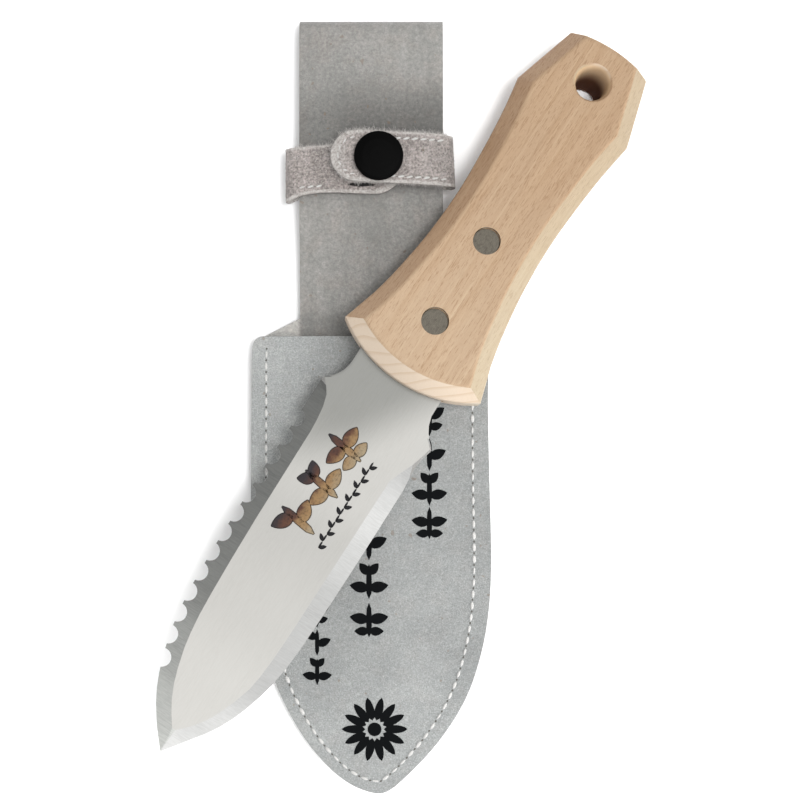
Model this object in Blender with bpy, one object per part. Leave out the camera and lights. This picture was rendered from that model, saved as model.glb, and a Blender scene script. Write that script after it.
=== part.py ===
"""Hori hori knife lying across its suede belt sheath.

Lengths are millimetres everywhere until solid() turns them into metres.
World frame: X across the sheath, Y up the sheath from its mouth, Z up from the table.
Knife frame: x from the tip to the butt, y towards the toothed edge, w (z) up.
"""
import math

import bmesh
import bpy
from mathutils import Matrix, Vector

MM = 0.001
GAP = 0.3

# Sheath leather
LEATHER = 2.0
LOOP_HALF_WIDTH = 27.85
LOOP_TOP_Y = 117.3
FOLD_RADIUS = 4.2
TAIL_END_Y = -25.0
STRIP_Z = 1.0 + 2.0 * FOLD_RADIUS
BODY_Z = 1.0 + LEATHER + GAP
MOUTH_Y = -0.5
WELT_WIDTH = 7.0
SEAM_INSET = 6.2
FRONT_LIFT = 2.0 * LEATHER + 2.0 * GAP
WELT_LIFT = LEATHER + GAP
THREAD = 0.6
THREAD_LIFT = 0.5 * THREAD + 0.25

# Strip and body below the belt loop: y, height of the mid surface
SLOPE = ((51.0, STRIP_Z), (46.0, 9.1), (40.0, 8.1), (34.0, 6.9), (28.0, 6.3), (20.0, 5.8),
         (12.0, 5.2), (6.6, 4.7), (2.0, 4.2), (-2.0, 3.7), (-6.0, BODY_Z), (-25.0, BODY_Z),
         (-178.8, 1.0))

# Body outline: y, half width, centre line x
BODY = ((6.6, 27.85, 0.0), (2.0, 37.1, 0.0), (-2.0, 45.2, 0.0), (-5.0, 46.0, -0.2),
        (-9.7, 46.1, -0.4), (-25.0, 45.9, -0.6), (-45.0, 46.2, -0.5), (-64.0, 46.5, -0.3),
        (-80.0, 46.7, 0.0), (-95.0, 46.4, 0.4), (-109.5, 44.9, 0.8), (-119.0, 43.1, 1.0),
        (-127.0, 41.1, 1.1), (-136.0, 38.3, 1.1), (-143.0, 35.2, 1.1), (-150.0, 31.4, 0.9),
        (-156.0, 27.5, 0.7), (-161.5, 23.4, 0.5), (-166.5, 18.9, 0.4), (-171.4, 14.0, 0.4),
        (-174.9, 9.6, 1.0), (-177.0, 6.2, 1.8), (-178.8, 1.8, 3.0))

# Pocket bulge of the front panel: y, height
BULGE = ((0.0, 1.9), (-30.0, 2.6), (-60.0, 3.4), (-100.0, 3.2), (-135.0, 1.8),
         (-160.0, 0.3), (-166.0, 0.0), (-179.0, 0.0))

# Snap strap
STRAP = 1.8
STRAP_HALF_WIDTH = 9.8
STRAP_BACK_Z = 7.2
STRAP_FOLD = 2.6
STRAP_SIDE_X = 32.1
RIGHT_BORE = 2.4
LEFT_BORE = 2.0
STRAP_DRILL = 12.0
HINGE_X = 33.0
HINGE_Z = 11.15
RIGHT_HINGE_Y = 66.1
LEFT_HINGE_Y = 61.5
RIGHT_SLOPE = -0.0456
LEFT_SLOPE = 0.0768
RIGHT_ARM = ((32.1, 11.3), (32.1, 12.4), (31.5, 14.1), (29.8, 15.7), (26.0, 17.0), (20.0, 17.9),
             (12.0, 18.3), (3.1, 18.4), (-5.4, 18.2), (-8.0, 17.9), (-10.5, 17.5),
             (-13.0, 16.9), (-14.6, 16.5), (-15.2, 16.3))
LEFT_ARM = ((-32.1, 11.3), (-32.1, 12.0), (-31.4, 13.1), (-29.0, 13.9), (-24.0, 14.1),
            (-15.0, 13.7), (-5.0, 13.3), (2.8, 13.1), (5.0, 13.1), (7.5, 13.1), (10.0, 13.1),
            (11.8, 13.1), (12.6, 13.1))
SNAP_X = 3.1
SNAP_Y = 67.4
CAP_RADIUS = 9.4

# Knife pose
TIP = (-76.4, -153.7, 39.3)
YAW = math.radians(57.18)
PITCH = math.radians(5.0)

# Blade rows: x, toothed edge, toothed grind line, plain grind line, plain edge, half thickness
PLATE = 1.25
EDGE = 0.2
BLADE = ((0.0, 0.2, 0.07, -0.07, -0.2, 0.22), (3.0, 2.8, 0.25, -0.1, -2.4, 0.55),
         (6.5, 5.8, 0.5, -0.2, -5.0, 0.95), (9.4, 8.0, 1.0, -0.4, -7.1, PLATE),
         (13.5, 10.9, 4.0, -4.5, -10.2, PLATE), (18.1, 13.6, 6.9, -7.9, -13.1, PLATE),
         (23.5, 16.1, 9.4, -10.7, -15.8, PLATE), (29.0, 18.1, 11.3, -12.9, -17.9, PLATE),
         (36.0, 20.3, 13.2, -15.1, -20.0, PLATE), (42.0, 21.6, 14.3, -16.0, -21.3, PLATE),
         (49.0, 22.7, 15.2, -16.5, -22.4, PLATE), (57.7, 23.6, 15.8, -16.8, -23.0, PLATE),
         (72.5, 24.4, 16.5, -16.9, -23.4, PLATE), (91.0, 24.8, 17.1, -17.0, -23.5, PLATE),
         (110.0, 24.9, 17.4, -17.1, -23.5, PLATE), (128.0, 25.0, 17.7, -17.2, -23.4, PLATE),
         (133.0, 25.0, 18.1, -19.0, -22.9, PLATE), (138.0, 25.0, 18.8, -21.2, -22.6, PLATE),
         (142.7, 25.0, 20.2, -22.6, -23.3, PLATE), (145.5, 25.0, 22.2, -23.3, -24.1, PLATE),
         (146.4, 25.0, 23.2, -23.4, -24.2, PLATE))
SHOULDER = ((148.0, 24.7, -22.7), (149.3, 22.9, -21.2), (151.0, 21.4, -19.9),
            (153.5, 19.9, -18.4), (157.0, 19.0, -17.3), (167.2, 18.9, -17.1))
TANG_CENTRE = 0.8
TANG_HALF_WIDTH = 12.0
TANG_START = 167.5
TANG_END = 240.0
NOTCH_FIRST = 28.6
NOTCH_PITCH = 8.4
NOTCH_COUNT = 13
NOTCH_RADIUS = 3.55
NOTCH_OFFSET = 0.4
THROUGH = 3.0
RIM_ROUND = 0.8

# Handle
HANDLE_HALF_THICKNESS = 12.0
CHAMFER = 6.0
BUTT_ROUND = 1.8
FRONT_APEX = 160.5
FRONT_CORNER = (170.0, 30.0)
SIDE = ((184.0, 25.8), (193.0, 23.9), (202.5, 22.4), (212.0, 21.2), (221.5, 20.5), (230.0, 20.2),
        (240.0, 20.3), (250.0, 20.9), (260.0, 21.7), (271.0, 22.9), (282.5, 24.7))
BUTT_CORNER = (308.1, 17.3)
BUTT_APEX = 311.0
RIVET_X = (186.0, 221.7)
RIVET_Y = 0.9
RIVET_RADIUS = 5.15
RIVET_HEAD = 1.5
TANG_DRILL = 3.3
HOLE_X = 294.9
HOLE_Y = 0.0
HOLE_RADIUS = 5.6
COUNTERSINK = 1.3


def clear_scene():
    for obj in list(bpy.data.objects):
        bpy.data.objects.remove(obj, do_unlink=True)


def material(name, colour, metallic, roughness):
    made = bpy.data.materials.new(name)
    made.use_nodes = True
    made.diffuse_color = (*colour, 1.0)
    shader = made.node_tree.nodes["Principled BSDF"]
    shader.inputs["Base Color"].default_value = (*colour, 1.0)
    shader.inputs["Metallic"].default_value = metallic
    shader.inputs["Roughness"].default_value = roughness
    return made


def interpolate(table, at):
    """Linear look-up in rows sorted along their first value, either way round."""
    rows = sorted(table)
    if at <= rows[0][0]:
        return rows[0][1:]
    for low, high in zip(rows, rows[1:]):
        if at <= high[0]:
            share = (at - low[0]) / (high[0] - low[0])
            return tuple(a + share * (b - a) for a, b in zip(low[1:], high[1:]))
    return rows[-1][1:]


def solid(name, points, faces, look, parent=None, smooth=False):
    """A closed mesh object; the points are in the parent's frame."""
    mesh = bpy.data.meshes.new(name)
    mesh.from_pydata([Vector(p) * MM for p in points], [], faces)
    editable = bmesh.new()
    editable.from_mesh(mesh)
    bmesh.ops.recalc_face_normals(editable, faces=editable.faces)
    editable.to_mesh(mesh)
    editable.free()
    if smooth:
        mesh.shade_smooth()
        mesh.set_sharp_from_angle(angle=math.radians(35.0))
    if look:
        mesh.materials.append(look)
    obj = bpy.data.objects.new(name, mesh)
    bpy.context.scene.collection.objects.link(obj)
    obj.parent = parent
    return obj


def empty(name, matrix):
    obj = bpy.data.objects.new(name, None)
    obj.empty_display_size = 0.01
    obj.matrix_world = matrix
    bpy.context.scene.collection.objects.link(obj)
    return obj


def loft(name, rings, look, parent=None, smooth=False, looped=False):
    """Join rings of equal length; the two end rings are capped unless the loft is looped."""
    count = len(rings[0])
    points = [p for ring in rings for p in ring]
    faces = []
    last = len(rings) if looped else len(rings) - 1
    for row in range(last):
        near = row * count
        far = (row + 1) % len(rings) * count
        for i in range(count):
            j = (i + 1) % count
            faces.append((near + i, near + j, far + j, far + i))
    if not looped:
        faces.append(tuple(range(count)))
        faces.append(tuple(range(len(points) - count, len(points))))
    return solid(name, points, faces, look, parent, smooth)


def turned(name, profile, centre, look, parent=None, segments=28):
    """Turn a closed profile of (radius, height) about a vertical axis through the centre."""
    points = []
    starts = []
    for radius, height in profile:
        starts.append(len(points))
        turns = 1 if radius == 0.0 else segments
        for i in range(turns):
            angle = 2.0 * math.pi * i / segments
            points.append((centre[0] + radius * math.cos(angle),
                           centre[1] + radius * math.sin(angle), height))
    faces = []
    for i in range(len(profile)):
        j = (i + 1) % len(profile)
        inner_point = profile[i][0] == 0.0
        outer_point = profile[j][0] == 0.0
        if inner_point and outer_point:
            continue
        for k in range(segments):
            n = (k + 1) % segments
            if inner_point:
                faces.append((starts[i], starts[j] + k, starts[j] + n))
            elif outer_point:
                faces.append((starts[i] + k, starts[i] + n, starts[j]))
            else:
                faces.append((starts[i] + k, starts[i] + n, starts[j] + n, starts[j] + k))
    return solid(name, points, faces, look, parent, smooth=True)


def sheet(name, rows, thickness, look, parent=None):
    """Give a grid of mid-surface points a thickness."""
    grid = [[Vector(p) for p in row] for row in rows]
    rings = []
    for i, row in enumerate(grid):
        before = grid[max(i - 1, 0)]
        after = grid[min(i + 1, len(grid) - 1)]
        upper = []
        lower = []
        for j, point in enumerate(row):
            along = after[j] - before[j]
            across = row[min(j + 1, len(row) - 1)] - row[max(j - 1, 0)]
            half = along.cross(across).normalized() * thickness * 0.5
            upper.append(point + half)
            lower.append(point - half)
        rings.append(upper + lower[::-1])
    columns = len(grid[0])
    made = loft(name, rings, look, parent, smooth=True)
    if columns > 2:
        split_caps(made, columns)
    return made


def split_caps(obj, columns):
    """Replace the many-sided end caps of a sheet with quads so that they stay flat."""
    editable = bmesh.new()
    editable.from_mesh(obj.data)
    editable.verts.ensure_lookup_table()
    caps = [f for f in editable.faces if len(f.verts) > 4]
    bmesh.ops.delete(editable, geom=caps, context="FACES_ONLY")
    size = 2 * columns
    for start in (0, len(editable.verts) - size):
        for j in range(columns - 1):
            corners = (j, j + 1, size - 2 - j, size - 1 - j)
            editable.faces.new([editable.verts[start + c] for c in corners])
    bmesh.ops.recalc_face_normals(editable, faces=editable.faces)
    editable.to_mesh(obj.data)
    editable.free()


def strand(name, path, look, parent=None, looped=False):
    """A thread of four-sided section along a path."""
    points = [Vector(p) for p in path]
    rings = []
    for i, point in enumerate(points):
        if looped:
            step = points[(i + 1) % len(points)] - points[i - 1]
        else:
            step = points[min(i + 1, len(points) - 1)] - points[max(i - 1, 0)]
        side = Vector((-step.y, step.x, 0.0)).normalized() * THREAD * 0.5
        up = Vector((0.0, 0.0, THREAD * 0.5))
        rings.append([point + side + up, point - side + up, point - side - up, point + side - up])
    return loft(name, rings, look, parent, smooth=False, looped=looped)


def cut(target, cutter):
    cutter.hide_render = True
    cutter.display_type = "WIRE"
    boolean = target.modifiers.new(cutter.name, "BOOLEAN")
    boolean.operation = "DIFFERENCE"
    boolean.solver = "EXACT"
    boolean.object = cutter


def body_z(y):
    return interpolate(SLOPE, y)[0]


def body_rows():
    """y values that follow both the outline and the height of the sheath body."""
    wanted = {row[0] for row in BODY} | {row[0] for row in SLOPE if row[0] < 6.6}
    return sorted(wanted, reverse=True)


def spread(half, middle, columns):
    return [middle + half * (2.0 * j / (columns - 1) - 1.0) for j in range(columns)]


def make_back_panel(look):
    columns = 3
    profile = [(TAIL_END_Y, 1.0), (45.0, 1.0), (LOOP_TOP_Y, 1.0)]
    for step in range(1, 8):
        angle = math.pi * (step / 8.0 - 0.5)
        profile.append((LOOP_TOP_Y + FOLD_RADIUS * math.cos(angle),
                        1.0 + FOLD_RADIUS + FOLD_RADIUS * math.sin(angle)))
    profile += [(LOOP_TOP_Y, STRIP_Z), (85.0, STRIP_Z)]
    profile += [row for row in SLOPE if row[0] > 6.6]
    rows = []
    for y, z in profile:
        rows.append([(x, y, z) for x in spread(LOOP_HALF_WIDTH, 0.0, columns)])
    for y in body_rows():
        rows.append([(x, y, body_z(y)) for x in spread(*interpolate(BODY, y), columns)])
    return sheet("back_panel", rows, LEATHER, look)


def front_z(x, y):
    half, middle = interpolate(BODY, y)
    reach = half - WELT_WIDTH - 1.5
    share = min(abs(x - middle) / reach, 1.0) if reach > 1.0 else 1.0
    return body_z(y) + FRONT_LIFT + interpolate(BULGE, y)[0] * (1.0 - share ** 2) ** 2


def make_front_panel(look):
    columns = 13
    corner = [(MOUTH_Y, 42.6), (-1.1, 44.2), (-2.2, 45.3), (-4.0, 45.9)]
    rows = []
    for y, half in corner:
        rows.append([(x, y, front_z(x, y)) for x in spread(half, -0.1, columns)])
    for y in body_rows():
        if y < -4.5:
            rows.append([(x, y, front_z(x, y)) for x in spread(*interpolate(BODY, y), columns)])
    return sheet("front_panel", rows, LEATHER, look)


def outline(inset, top):
    """The body's edge from the left of the mouth round the tip to the right, moved inwards."""
    edge = []
    stations = [row for row in BODY if row[0] < top]
    for y, half, middle in stations:
        edge.append(Vector((middle - half, y)))
    for y, half, middle in reversed(stations):
        edge.append(Vector((middle + half, y)))
    moved = []
    for i, point in enumerate(edge):
        step = edge[min(i + 1, len(edge) - 1)] - edge[max(i - 1, 0)]
        inward = Vector((-step.y, step.x)).normalized()
        moved.append(point + inward * inset)
    return moved


def make_welt(look):
    outer = outline(0.0, -4.5)
    inner = outline(WELT_WIDTH, -4.5)
    rows = []
    for a, b in zip(outer, inner):
        height = body_z(a.y) + WELT_LIFT
        rows.append([(a.x, a.y, height), (b.x, b.y, body_z(b.y) + WELT_LIFT)])
    return sheet("welt", rows, LEATHER, look)


def resample(points, spacing):
    """Points at an even spacing along a polyline."""
    picked = [points[0]]
    travelled = 0.0
    for a, b in zip(points, points[1:]):
        length = (b - a).length
        while travelled + length >= spacing * len(picked):
            share = (spacing * len(picked) - travelled) / length
            picked.append(a.lerp(b, share))
        travelled += length
    return picked


def make_sheath_threads(look):
    path = resample(outline(SEAM_INSET, -1.9), 8.0)
    lift = 0.5 * LEATHER + THREAD_LIFT
    strand("seam_thread", [(p.x, p.y, front_z(p.x, p.y) + lift) for p in path], look)
    height = BODY_Z + lift
    corners = ((-20.0, -9.0), (20.0, -9.0), (20.0, -22.0), (-20.0, -22.0))
    strand("belt_loop_thread", [(x, y, height) for x, y in corners], look, looped=True)


def strap_row(x, z, slope, hinge_x, hinge_y, half):
    middle = hinge_y + slope * (x - hinge_x)
    return [(x, middle - half, z), (x, middle, z), (x, middle + half, z)]


def make_strap_back(look):
    profile = [(-STRAP_SIDE_X, 11.0)]
    centre_x = STRAP_SIDE_X - STRAP_FOLD
    centre_z = STRAP_BACK_Z + STRAP_FOLD
    for step in range(5):
        angle = 0.5 * math.pi * step / 4.0
        profile.append((-centre_x - STRAP_FOLD * math.cos(angle),
                        centre_z - STRAP_FOLD * math.sin(angle)))
    profile += [(-x, z) for x, z in reversed(profile)]
    slope = (RIGHT_HINGE_Y - LEFT_HINGE_Y) / (2.0 * HINGE_X)
    rows = [strap_row(x, z, slope, HINGE_X, RIGHT_HINGE_Y, STRAP_HALF_WIDTH) for x, z in profile]
    return sheet("strap_back", rows, STRAP, look)


def arm_half_width(x, round_centre, direction):
    past = (x - round_centre) * direction
    if past <= 0.0:
        return STRAP_HALF_WIDTH
    return max(math.sqrt(max(STRAP_HALF_WIDTH ** 2 - past ** 2, 0.0)), 1.2)


def local(points, origin):
    return [Vector(p) - Vector(origin) for p in points]


def make_arm(name, profile, slope, hinge, round_centre, direction, bore, look, parent):
    rows = []
    for x, z in profile:
        half = arm_half_width(x, round_centre, direction)
        rows.append(local(strap_row(x, z, slope, hinge[0], hinge[1], half), hinge))
    arm = sheet(name, rows, STRAP, look, parent)
    place = (SNAP_X - hinge[0], SNAP_Y - hinge[1])
    drill = ((0.0, 0.0), (bore, 0.0), (bore, STRAP_DRILL), (0.0, STRAP_DRILL))
    cut(arm, turned(name + "_bore", drill, place, None, parent, 24))
    return arm


def make_right_thread(hinge, look, parent):
    inset = STRAP_HALF_WIDTH - 2.6
    path = [(x, -inset) for x in (29.0, 24.0, 18.0, 12.0, 6.0, 0.0)]
    for step in range(13):
        angle = math.pi * step / 12.0
        path.append((-5.4 - inset * math.sin(angle), -inset * math.cos(angle)))
    path += [(x, inset) for x in (0.0, 6.0, 12.0, 18.0, 24.0, 29.0)]
    points = arm_path(path, RIGHT_ARM, RIGHT_SLOPE, hinge)
    strand("strap_right_thread", local(points, hinge), look, parent)


def make_left_thread(hinge, look, parent):
    inset = STRAP_HALF_WIDTH - 3.0
    path = [(x, -inset) for x in (-29.0, -24.0, -18.0, -12.0, -6.0, 0.0)]
    for step in range(7):
        angle = 0.5 * math.pi * step / 6.0
        path.append((2.8 + inset * math.sin(angle), -inset * math.cos(angle)))
    points = arm_path(path, LEFT_ARM, LEFT_SLOPE, hinge)
    strand("strap_left_thread", local(points, hinge), look, parent)


def arm_path(path, profile, slope, hinge):
    """Lift (x, offset) pairs onto the top face of an arm."""
    points = []
    for x, offset in path:
        height = interpolate(profile[1:], x)[0]
        rise = interpolate(profile[1:], x + 0.5)[0] - interpolate(profile[1:], x - 0.5)[0]
        lean = math.sqrt(1.0 + rise ** 2)
        middle = hinge[1] + slope * (x - hinge[0])
        points.append((x, middle + offset, height + lean * (0.5 * STRAP + THREAD_LIFT)))
    return points


def make_snap(right, left, right_hinge, left_hinge, cap_look, steel):
    on_right = (SNAP_X - right_hinge[0], SNAP_Y - right_hinge[1])
    on_left = (SNAP_X - left_hinge[0], SNAP_Y - left_hinge[1])
    cap = ((0.0, 16.9), (2.0, 16.9), (2.0, 19.6), (5.9, 19.6), (6.1, 20.5), (8.9, 20.5),
           (9.3, 20.7), (CAP_RADIUS, 21.1), (9.2, 21.5), (8.2, 22.0), (6.2, 22.4), (3.2, 22.65),
           (0.0, 22.75))
    socket = ((2.4, 17.2), (2.4, 16.6), (4.2, 16.6), (4.2, 15.2), (5.2, 15.2), (5.4, 15.5),
              (5.4, 16.4), (6.2, 16.6), (6.2, 17.2))
    stud = ((4.6, 14.3), (4.6, 14.9), (3.0, 14.9), (2.85, 15.4), (3.15, 15.8), (3.0, 16.15),
            (2.5, 16.3), (0.0, 16.3), (0.0, 15.7), (1.9, 15.7), (1.9, 14.3))
    post = ((0.0, 11.1), (4.6, 11.1), (4.8, 11.4), (4.6, 11.9), (1.6, 11.9), (1.6, 15.3),
            (0.0, 15.3))
    turned("snap_cap", lowered(cap), on_right, cap_look, right, 40)
    turned("snap_socket", lowered(socket), on_right, steel, right)
    turned("snap_stud", lowered(stud), on_left, steel, left)
    turned("snap_post", lowered(post), on_left, steel, left)


def lowered(profile):
    return [(radius, height - HINGE_Z) for radius, height in profile]


def blade_ring(x, edge_high, line_high, line_low, edge_low, half, edge):
    return [(x, edge_low, edge), (x, line_low, half), (x, line_high, half), (x, edge_high, edge),
            (x, edge_high, -edge), (x, line_high, -half), (x, line_low, -half),
            (x, edge_low, -edge)]


def make_blade(look, parent):
    rings = [blade_ring(*row, EDGE) for row in BLADE]
    for x, high, low in SHOULDER:
        rings.append(blade_ring(x, high, high - RIM_ROUND, low + RIM_ROUND, low, PLATE,
                                PLATE - 0.05))
    high = TANG_CENTRE + TANG_HALF_WIDTH
    low = TANG_CENTRE - TANG_HALF_WIDTH
    for x in (TANG_START, TANG_END):
        rings.append(blade_ring(x, high, high - RIM_ROUND, low + RIM_ROUND, low, PLATE,
                                PLATE - 0.05))
    blade = loft("blade", rings, look, parent)
    for i in range(NOTCH_COUNT):
        x = NOTCH_FIRST + i * NOTCH_PITCH
        centre = (x, interpolate(BLADE, x)[0] + NOTCH_OFFSET)
        profile = ((0.0, -THROUGH), (NOTCH_RADIUS, -THROUGH), (NOTCH_RADIUS, THROUGH),
                   (0.0, THROUGH))
        cut(blade, turned(f"notch_cutter_{i + 1}", profile, centre, None, parent, 24))
    for i, x in enumerate(RIVET_X):
        profile = ((0.0, -THROUGH), (TANG_DRILL, -THROUGH), (TANG_DRILL, THROUGH), (0.0, THROUGH))
        cut(blade, turned(f"tang_drill_{i + 1}", profile, (x, RIVET_Y), None, parent, 24))
    return blade


def mitred(points, inset):
    """The inner points of a line, moved to its right by the inset."""
    moved = []
    for before, point, after in zip(points, points[1:], points[2:]):
        first = (point - before).normalized()
        second = (after - point).normalized()
        bisector = Vector((first.y + second.y, -first.x - second.x)).normalized()
        moved.append(point + bisector * inset / bisector.dot(Vector((first.y, -first.x))))
    return moved


def handle_ring(inset, butt_inset):
    """The handle in plan with its chamfered edges and its butt moved inwards."""
    half = FRONT_CORNER[1]
    sagitta = FRONT_CORNER[0] - FRONT_APEX
    radius = (half ** 2 + sagitta ** 2) / (2.0 * sagitta)
    centre = FRONT_APEX + radius
    side = [Vector(p) for p in (FRONT_CORNER, *SIDE, BUTT_CORNER)]
    inner = mitred(side, inset)

    start = (side[1] - side[0]).normalized()
    away = inner[0] - Vector((centre, 0.0))
    along = away.dot(start)
    reach = along + math.sqrt(along ** 2 - away.length_squared + (radius - inset) ** 2)
    turn = math.asin((inner[0] - start * reach).y / (radius - inset))
    front = []
    for step in range(13):
        angle = turn * (step / 6.0 - 1.0)
        front.append(Vector((centre - (radius - inset) * math.cos(angle),
                             (radius - inset) * math.sin(angle))))

    apex = BUTT_APEX - butt_inset
    bow = (BUTT_APEX - BUTT_CORNER[0]) / BUTT_CORNER[1] ** 2
    slope = (side[-1].x - side[-2].x) / (side[-1].y - side[-2].y)
    offset = inner[-1].x - slope * inner[-1].y
    end_y = (-slope - math.sqrt(slope ** 2 - 4.0 * bow * (offset - apex))) / (2.0 * bow)
    butt = []
    for step in range(9):
        y = end_y * (1.0 - step / 4.0)
        butt.append(Vector((apex - bow * y ** 2, y)))
    return front + inner + butt + [Vector((p.x, -p.y)) for p in reversed(inner)]


def make_handle(look, parent):
    levels = ((HANDLE_HALF_THICKNESS, CHAMFER, BUTT_ROUND),
              (HANDLE_HALF_THICKNESS - BUTT_ROUND, CHAMFER - BUTT_ROUND, 0.0),
              (HANDLE_HALF_THICKNESS - CHAMFER, 0.0, 0.0))
    rings = []
    for height, inset, butt_inset in levels:
        rings.append([(p.x, p.y, -height) for p in handle_ring(inset, butt_inset)])
    for ring in reversed(rings[:3]):
        rings.append([(x, y, -z) for x, y, z in ring])
    handle = loft("handle", rings, look, parent)
    cut(handle, make_mortise(parent))
    top = HANDLE_HALF_THICKNESS + 1.0
    seat = HANDLE_HALF_THICKNESS - RIVET_HEAD - GAP
    wide = RIVET_RADIUS + GAP
    bore = mirrored(((0.0, top), (wide, top), (wide, seat), (TANG_DRILL, seat)))
    for i, x in enumerate(RIVET_X):
        cut(handle, turned(f"rivet_bore_{i + 1}", bore, (x, RIVET_Y), None, parent))
    flare = HOLE_RADIUS + COUNTERSINK + 1.0
    rim = HANDLE_HALF_THICKNESS - COUNTERSINK
    hole = mirrored(((0.0, top), (flare, top), (HOLE_RADIUS, rim)))
    cut(handle, turned("hang_hole_cutter", hole, (HOLE_X, HOLE_Y), None, parent, 32))
    return handle


def mirrored(upper):
    return list(upper) + [(radius, -height) for radius, height in reversed(upper)]


def make_mortise(parent):
    """Room for the neck and the tang, with a clearance all round."""
    wide = 0.5 * (SHOULDER[-1][1] - SHOULDER[-1][2]) + GAP
    narrow = TANG_HALF_WIDTH + GAP
    step = TANG_START + GAP
    end = TANG_END + GAP
    plan = ((150.0, -wide), (step, -wide), (step, -narrow), (end, -narrow),
            (end, narrow), (step, narrow), (step, wide), (150.0, wide))
    depth = PLATE + GAP
    rings = [[(x, y + TANG_CENTRE, height) for x, y in plan] for height in (-depth, depth)]
    return loft("mortise_cutter", rings, None, parent)


def make_rivets(look, parent):
    face = HANDLE_HALF_THICKNESS
    seat = face - RIVET_HEAD
    rim = RIVET_RADIUS
    tube = ((0.0, face), (rim - 0.2, face), (rim, face - 0.2), (rim, seat), (3.0, seat),
            (3.0, -4.0), (2.1, -4.0), (2.1, seat - 0.5), (0.0, seat - 0.5))
    pin = ((0.0, -face), (rim - 0.2, -face), (rim, 0.2 - face), (rim, -seat), (1.8, -seat),
           (1.8, 4.0), (0.0, 4.0))
    for place, x in zip(("front", "rear"), RIVET_X):
        turned(place + "_rivet_tube", tube, (x, RIVET_Y), look, parent)
        turned(place + "_rivet_pin", pin, (x, RIVET_Y), look, parent)


def knife_matrix():
    turn = Matrix.Rotation(YAW, 4, "Z") @ Matrix.Rotation(PITCH, 4, "Y")
    return Matrix.Translation(Vector(TIP) * MM) @ turn


def main():
    clear_scene()
    suede = material("sheath_suede", (0.40, 0.40, 0.39), 0.0, 0.95)
    front_suede = material("front_panel_suede", (0.45, 0.46, 0.455), 0.0, 0.95)
    welt_suede = material("welt_leather", (0.42, 0.41, 0.39), 0.0, 0.95)
    strap_suede = material("strap_suede", (0.38, 0.345, 0.32), 0.0, 0.95)
    thread = material("thread", (0.80, 0.79, 0.76), 0.0, 0.85)
    black = material("snap_black", (0.008, 0.008, 0.008), 0.0, 0.22)
    snap_steel = material("snap_steel", (0.55, 0.55, 0.54), 1.0, 0.3)
    blade_steel = material("blade_steel", (0.62, 0.61, 0.59), 1.0, 0.35)
    rivet_steel = material("rivet_steel", (0.30, 0.29, 0.27), 1.0, 0.4)
    beech = material("beech", (0.60, 0.43, 0.29), 0.0, 0.6)

    right_hinge = (HINGE_X, RIGHT_HINGE_Y, HINGE_Z)
    left_hinge = (-HINGE_X, LEFT_HINGE_Y, HINGE_Z)
    right = empty("strap_right_hinge", Matrix.Translation(Vector(right_hinge) * MM))
    left = empty("strap_left_hinge", Matrix.Translation(Vector(left_hinge) * MM))
    knife = empty("knife_frame", knife_matrix())

    make_back_panel(suede)
    make_front_panel(front_suede)
    make_welt(welt_suede)
    make_sheath_threads(thread)
    make_strap_back(strap_suede)
    make_arm("strap_right_arm", RIGHT_ARM, RIGHT_SLOPE, right_hinge, -5.4, -1.0, RIGHT_BORE,
             strap_suede, right)
    make_arm("strap_left_arm", LEFT_ARM, LEFT_SLOPE, left_hinge, 2.8, 1.0, LEFT_BORE,
             strap_suede, left)
    make_right_thread(right_hinge, thread, right)
    make_left_thread(left_hinge, thread, left)
    make_snap(right, left, right_hinge, left_hinge, black, snap_steel)
    make_blade(blade_steel, knife)
    make_handle(beech, knife)
    make_rivets(rivet_steel, knife)


main()
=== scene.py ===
"""Looks for the hori hori knife lying on its suede sheath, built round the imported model.

Tables and sizes are in millimetres; MM turns them into metres when a mesh is made.
"""
import math
import random
from contextlib import contextmanager

import bmesh
import bpy
from mathutils import Matrix, Vector, noise
from mathutils.bvhtree import BVHTree


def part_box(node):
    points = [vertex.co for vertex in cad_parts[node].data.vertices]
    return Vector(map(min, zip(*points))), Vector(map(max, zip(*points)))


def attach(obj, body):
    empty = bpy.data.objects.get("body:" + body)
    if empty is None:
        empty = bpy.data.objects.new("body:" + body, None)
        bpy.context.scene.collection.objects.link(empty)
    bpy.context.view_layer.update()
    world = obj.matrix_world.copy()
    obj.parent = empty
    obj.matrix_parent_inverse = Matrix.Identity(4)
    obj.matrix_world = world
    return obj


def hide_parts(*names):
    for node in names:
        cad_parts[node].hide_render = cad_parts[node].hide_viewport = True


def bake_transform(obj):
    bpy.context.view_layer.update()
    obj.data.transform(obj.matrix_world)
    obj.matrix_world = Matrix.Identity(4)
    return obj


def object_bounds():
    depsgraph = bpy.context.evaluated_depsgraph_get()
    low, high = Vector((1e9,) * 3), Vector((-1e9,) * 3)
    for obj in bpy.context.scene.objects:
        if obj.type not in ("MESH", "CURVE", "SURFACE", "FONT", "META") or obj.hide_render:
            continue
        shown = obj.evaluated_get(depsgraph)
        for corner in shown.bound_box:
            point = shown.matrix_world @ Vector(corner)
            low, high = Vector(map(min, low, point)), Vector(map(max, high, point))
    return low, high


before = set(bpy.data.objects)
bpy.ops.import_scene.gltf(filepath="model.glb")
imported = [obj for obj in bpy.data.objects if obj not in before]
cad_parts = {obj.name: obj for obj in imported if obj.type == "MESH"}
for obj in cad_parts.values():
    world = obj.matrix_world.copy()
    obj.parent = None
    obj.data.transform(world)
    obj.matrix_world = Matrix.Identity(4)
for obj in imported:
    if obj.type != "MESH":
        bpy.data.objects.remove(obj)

MM = 0.001
CAD_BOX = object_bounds()

# The knife's own frame: x from the tip, y towards the teeth, w up. Its place comes from the rivets.
RIVET_X = (186.0, 221.7)
RIVET_Y = 0.9
RIVET_W = 4.0
BLADE_FACE = 1.25

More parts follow.
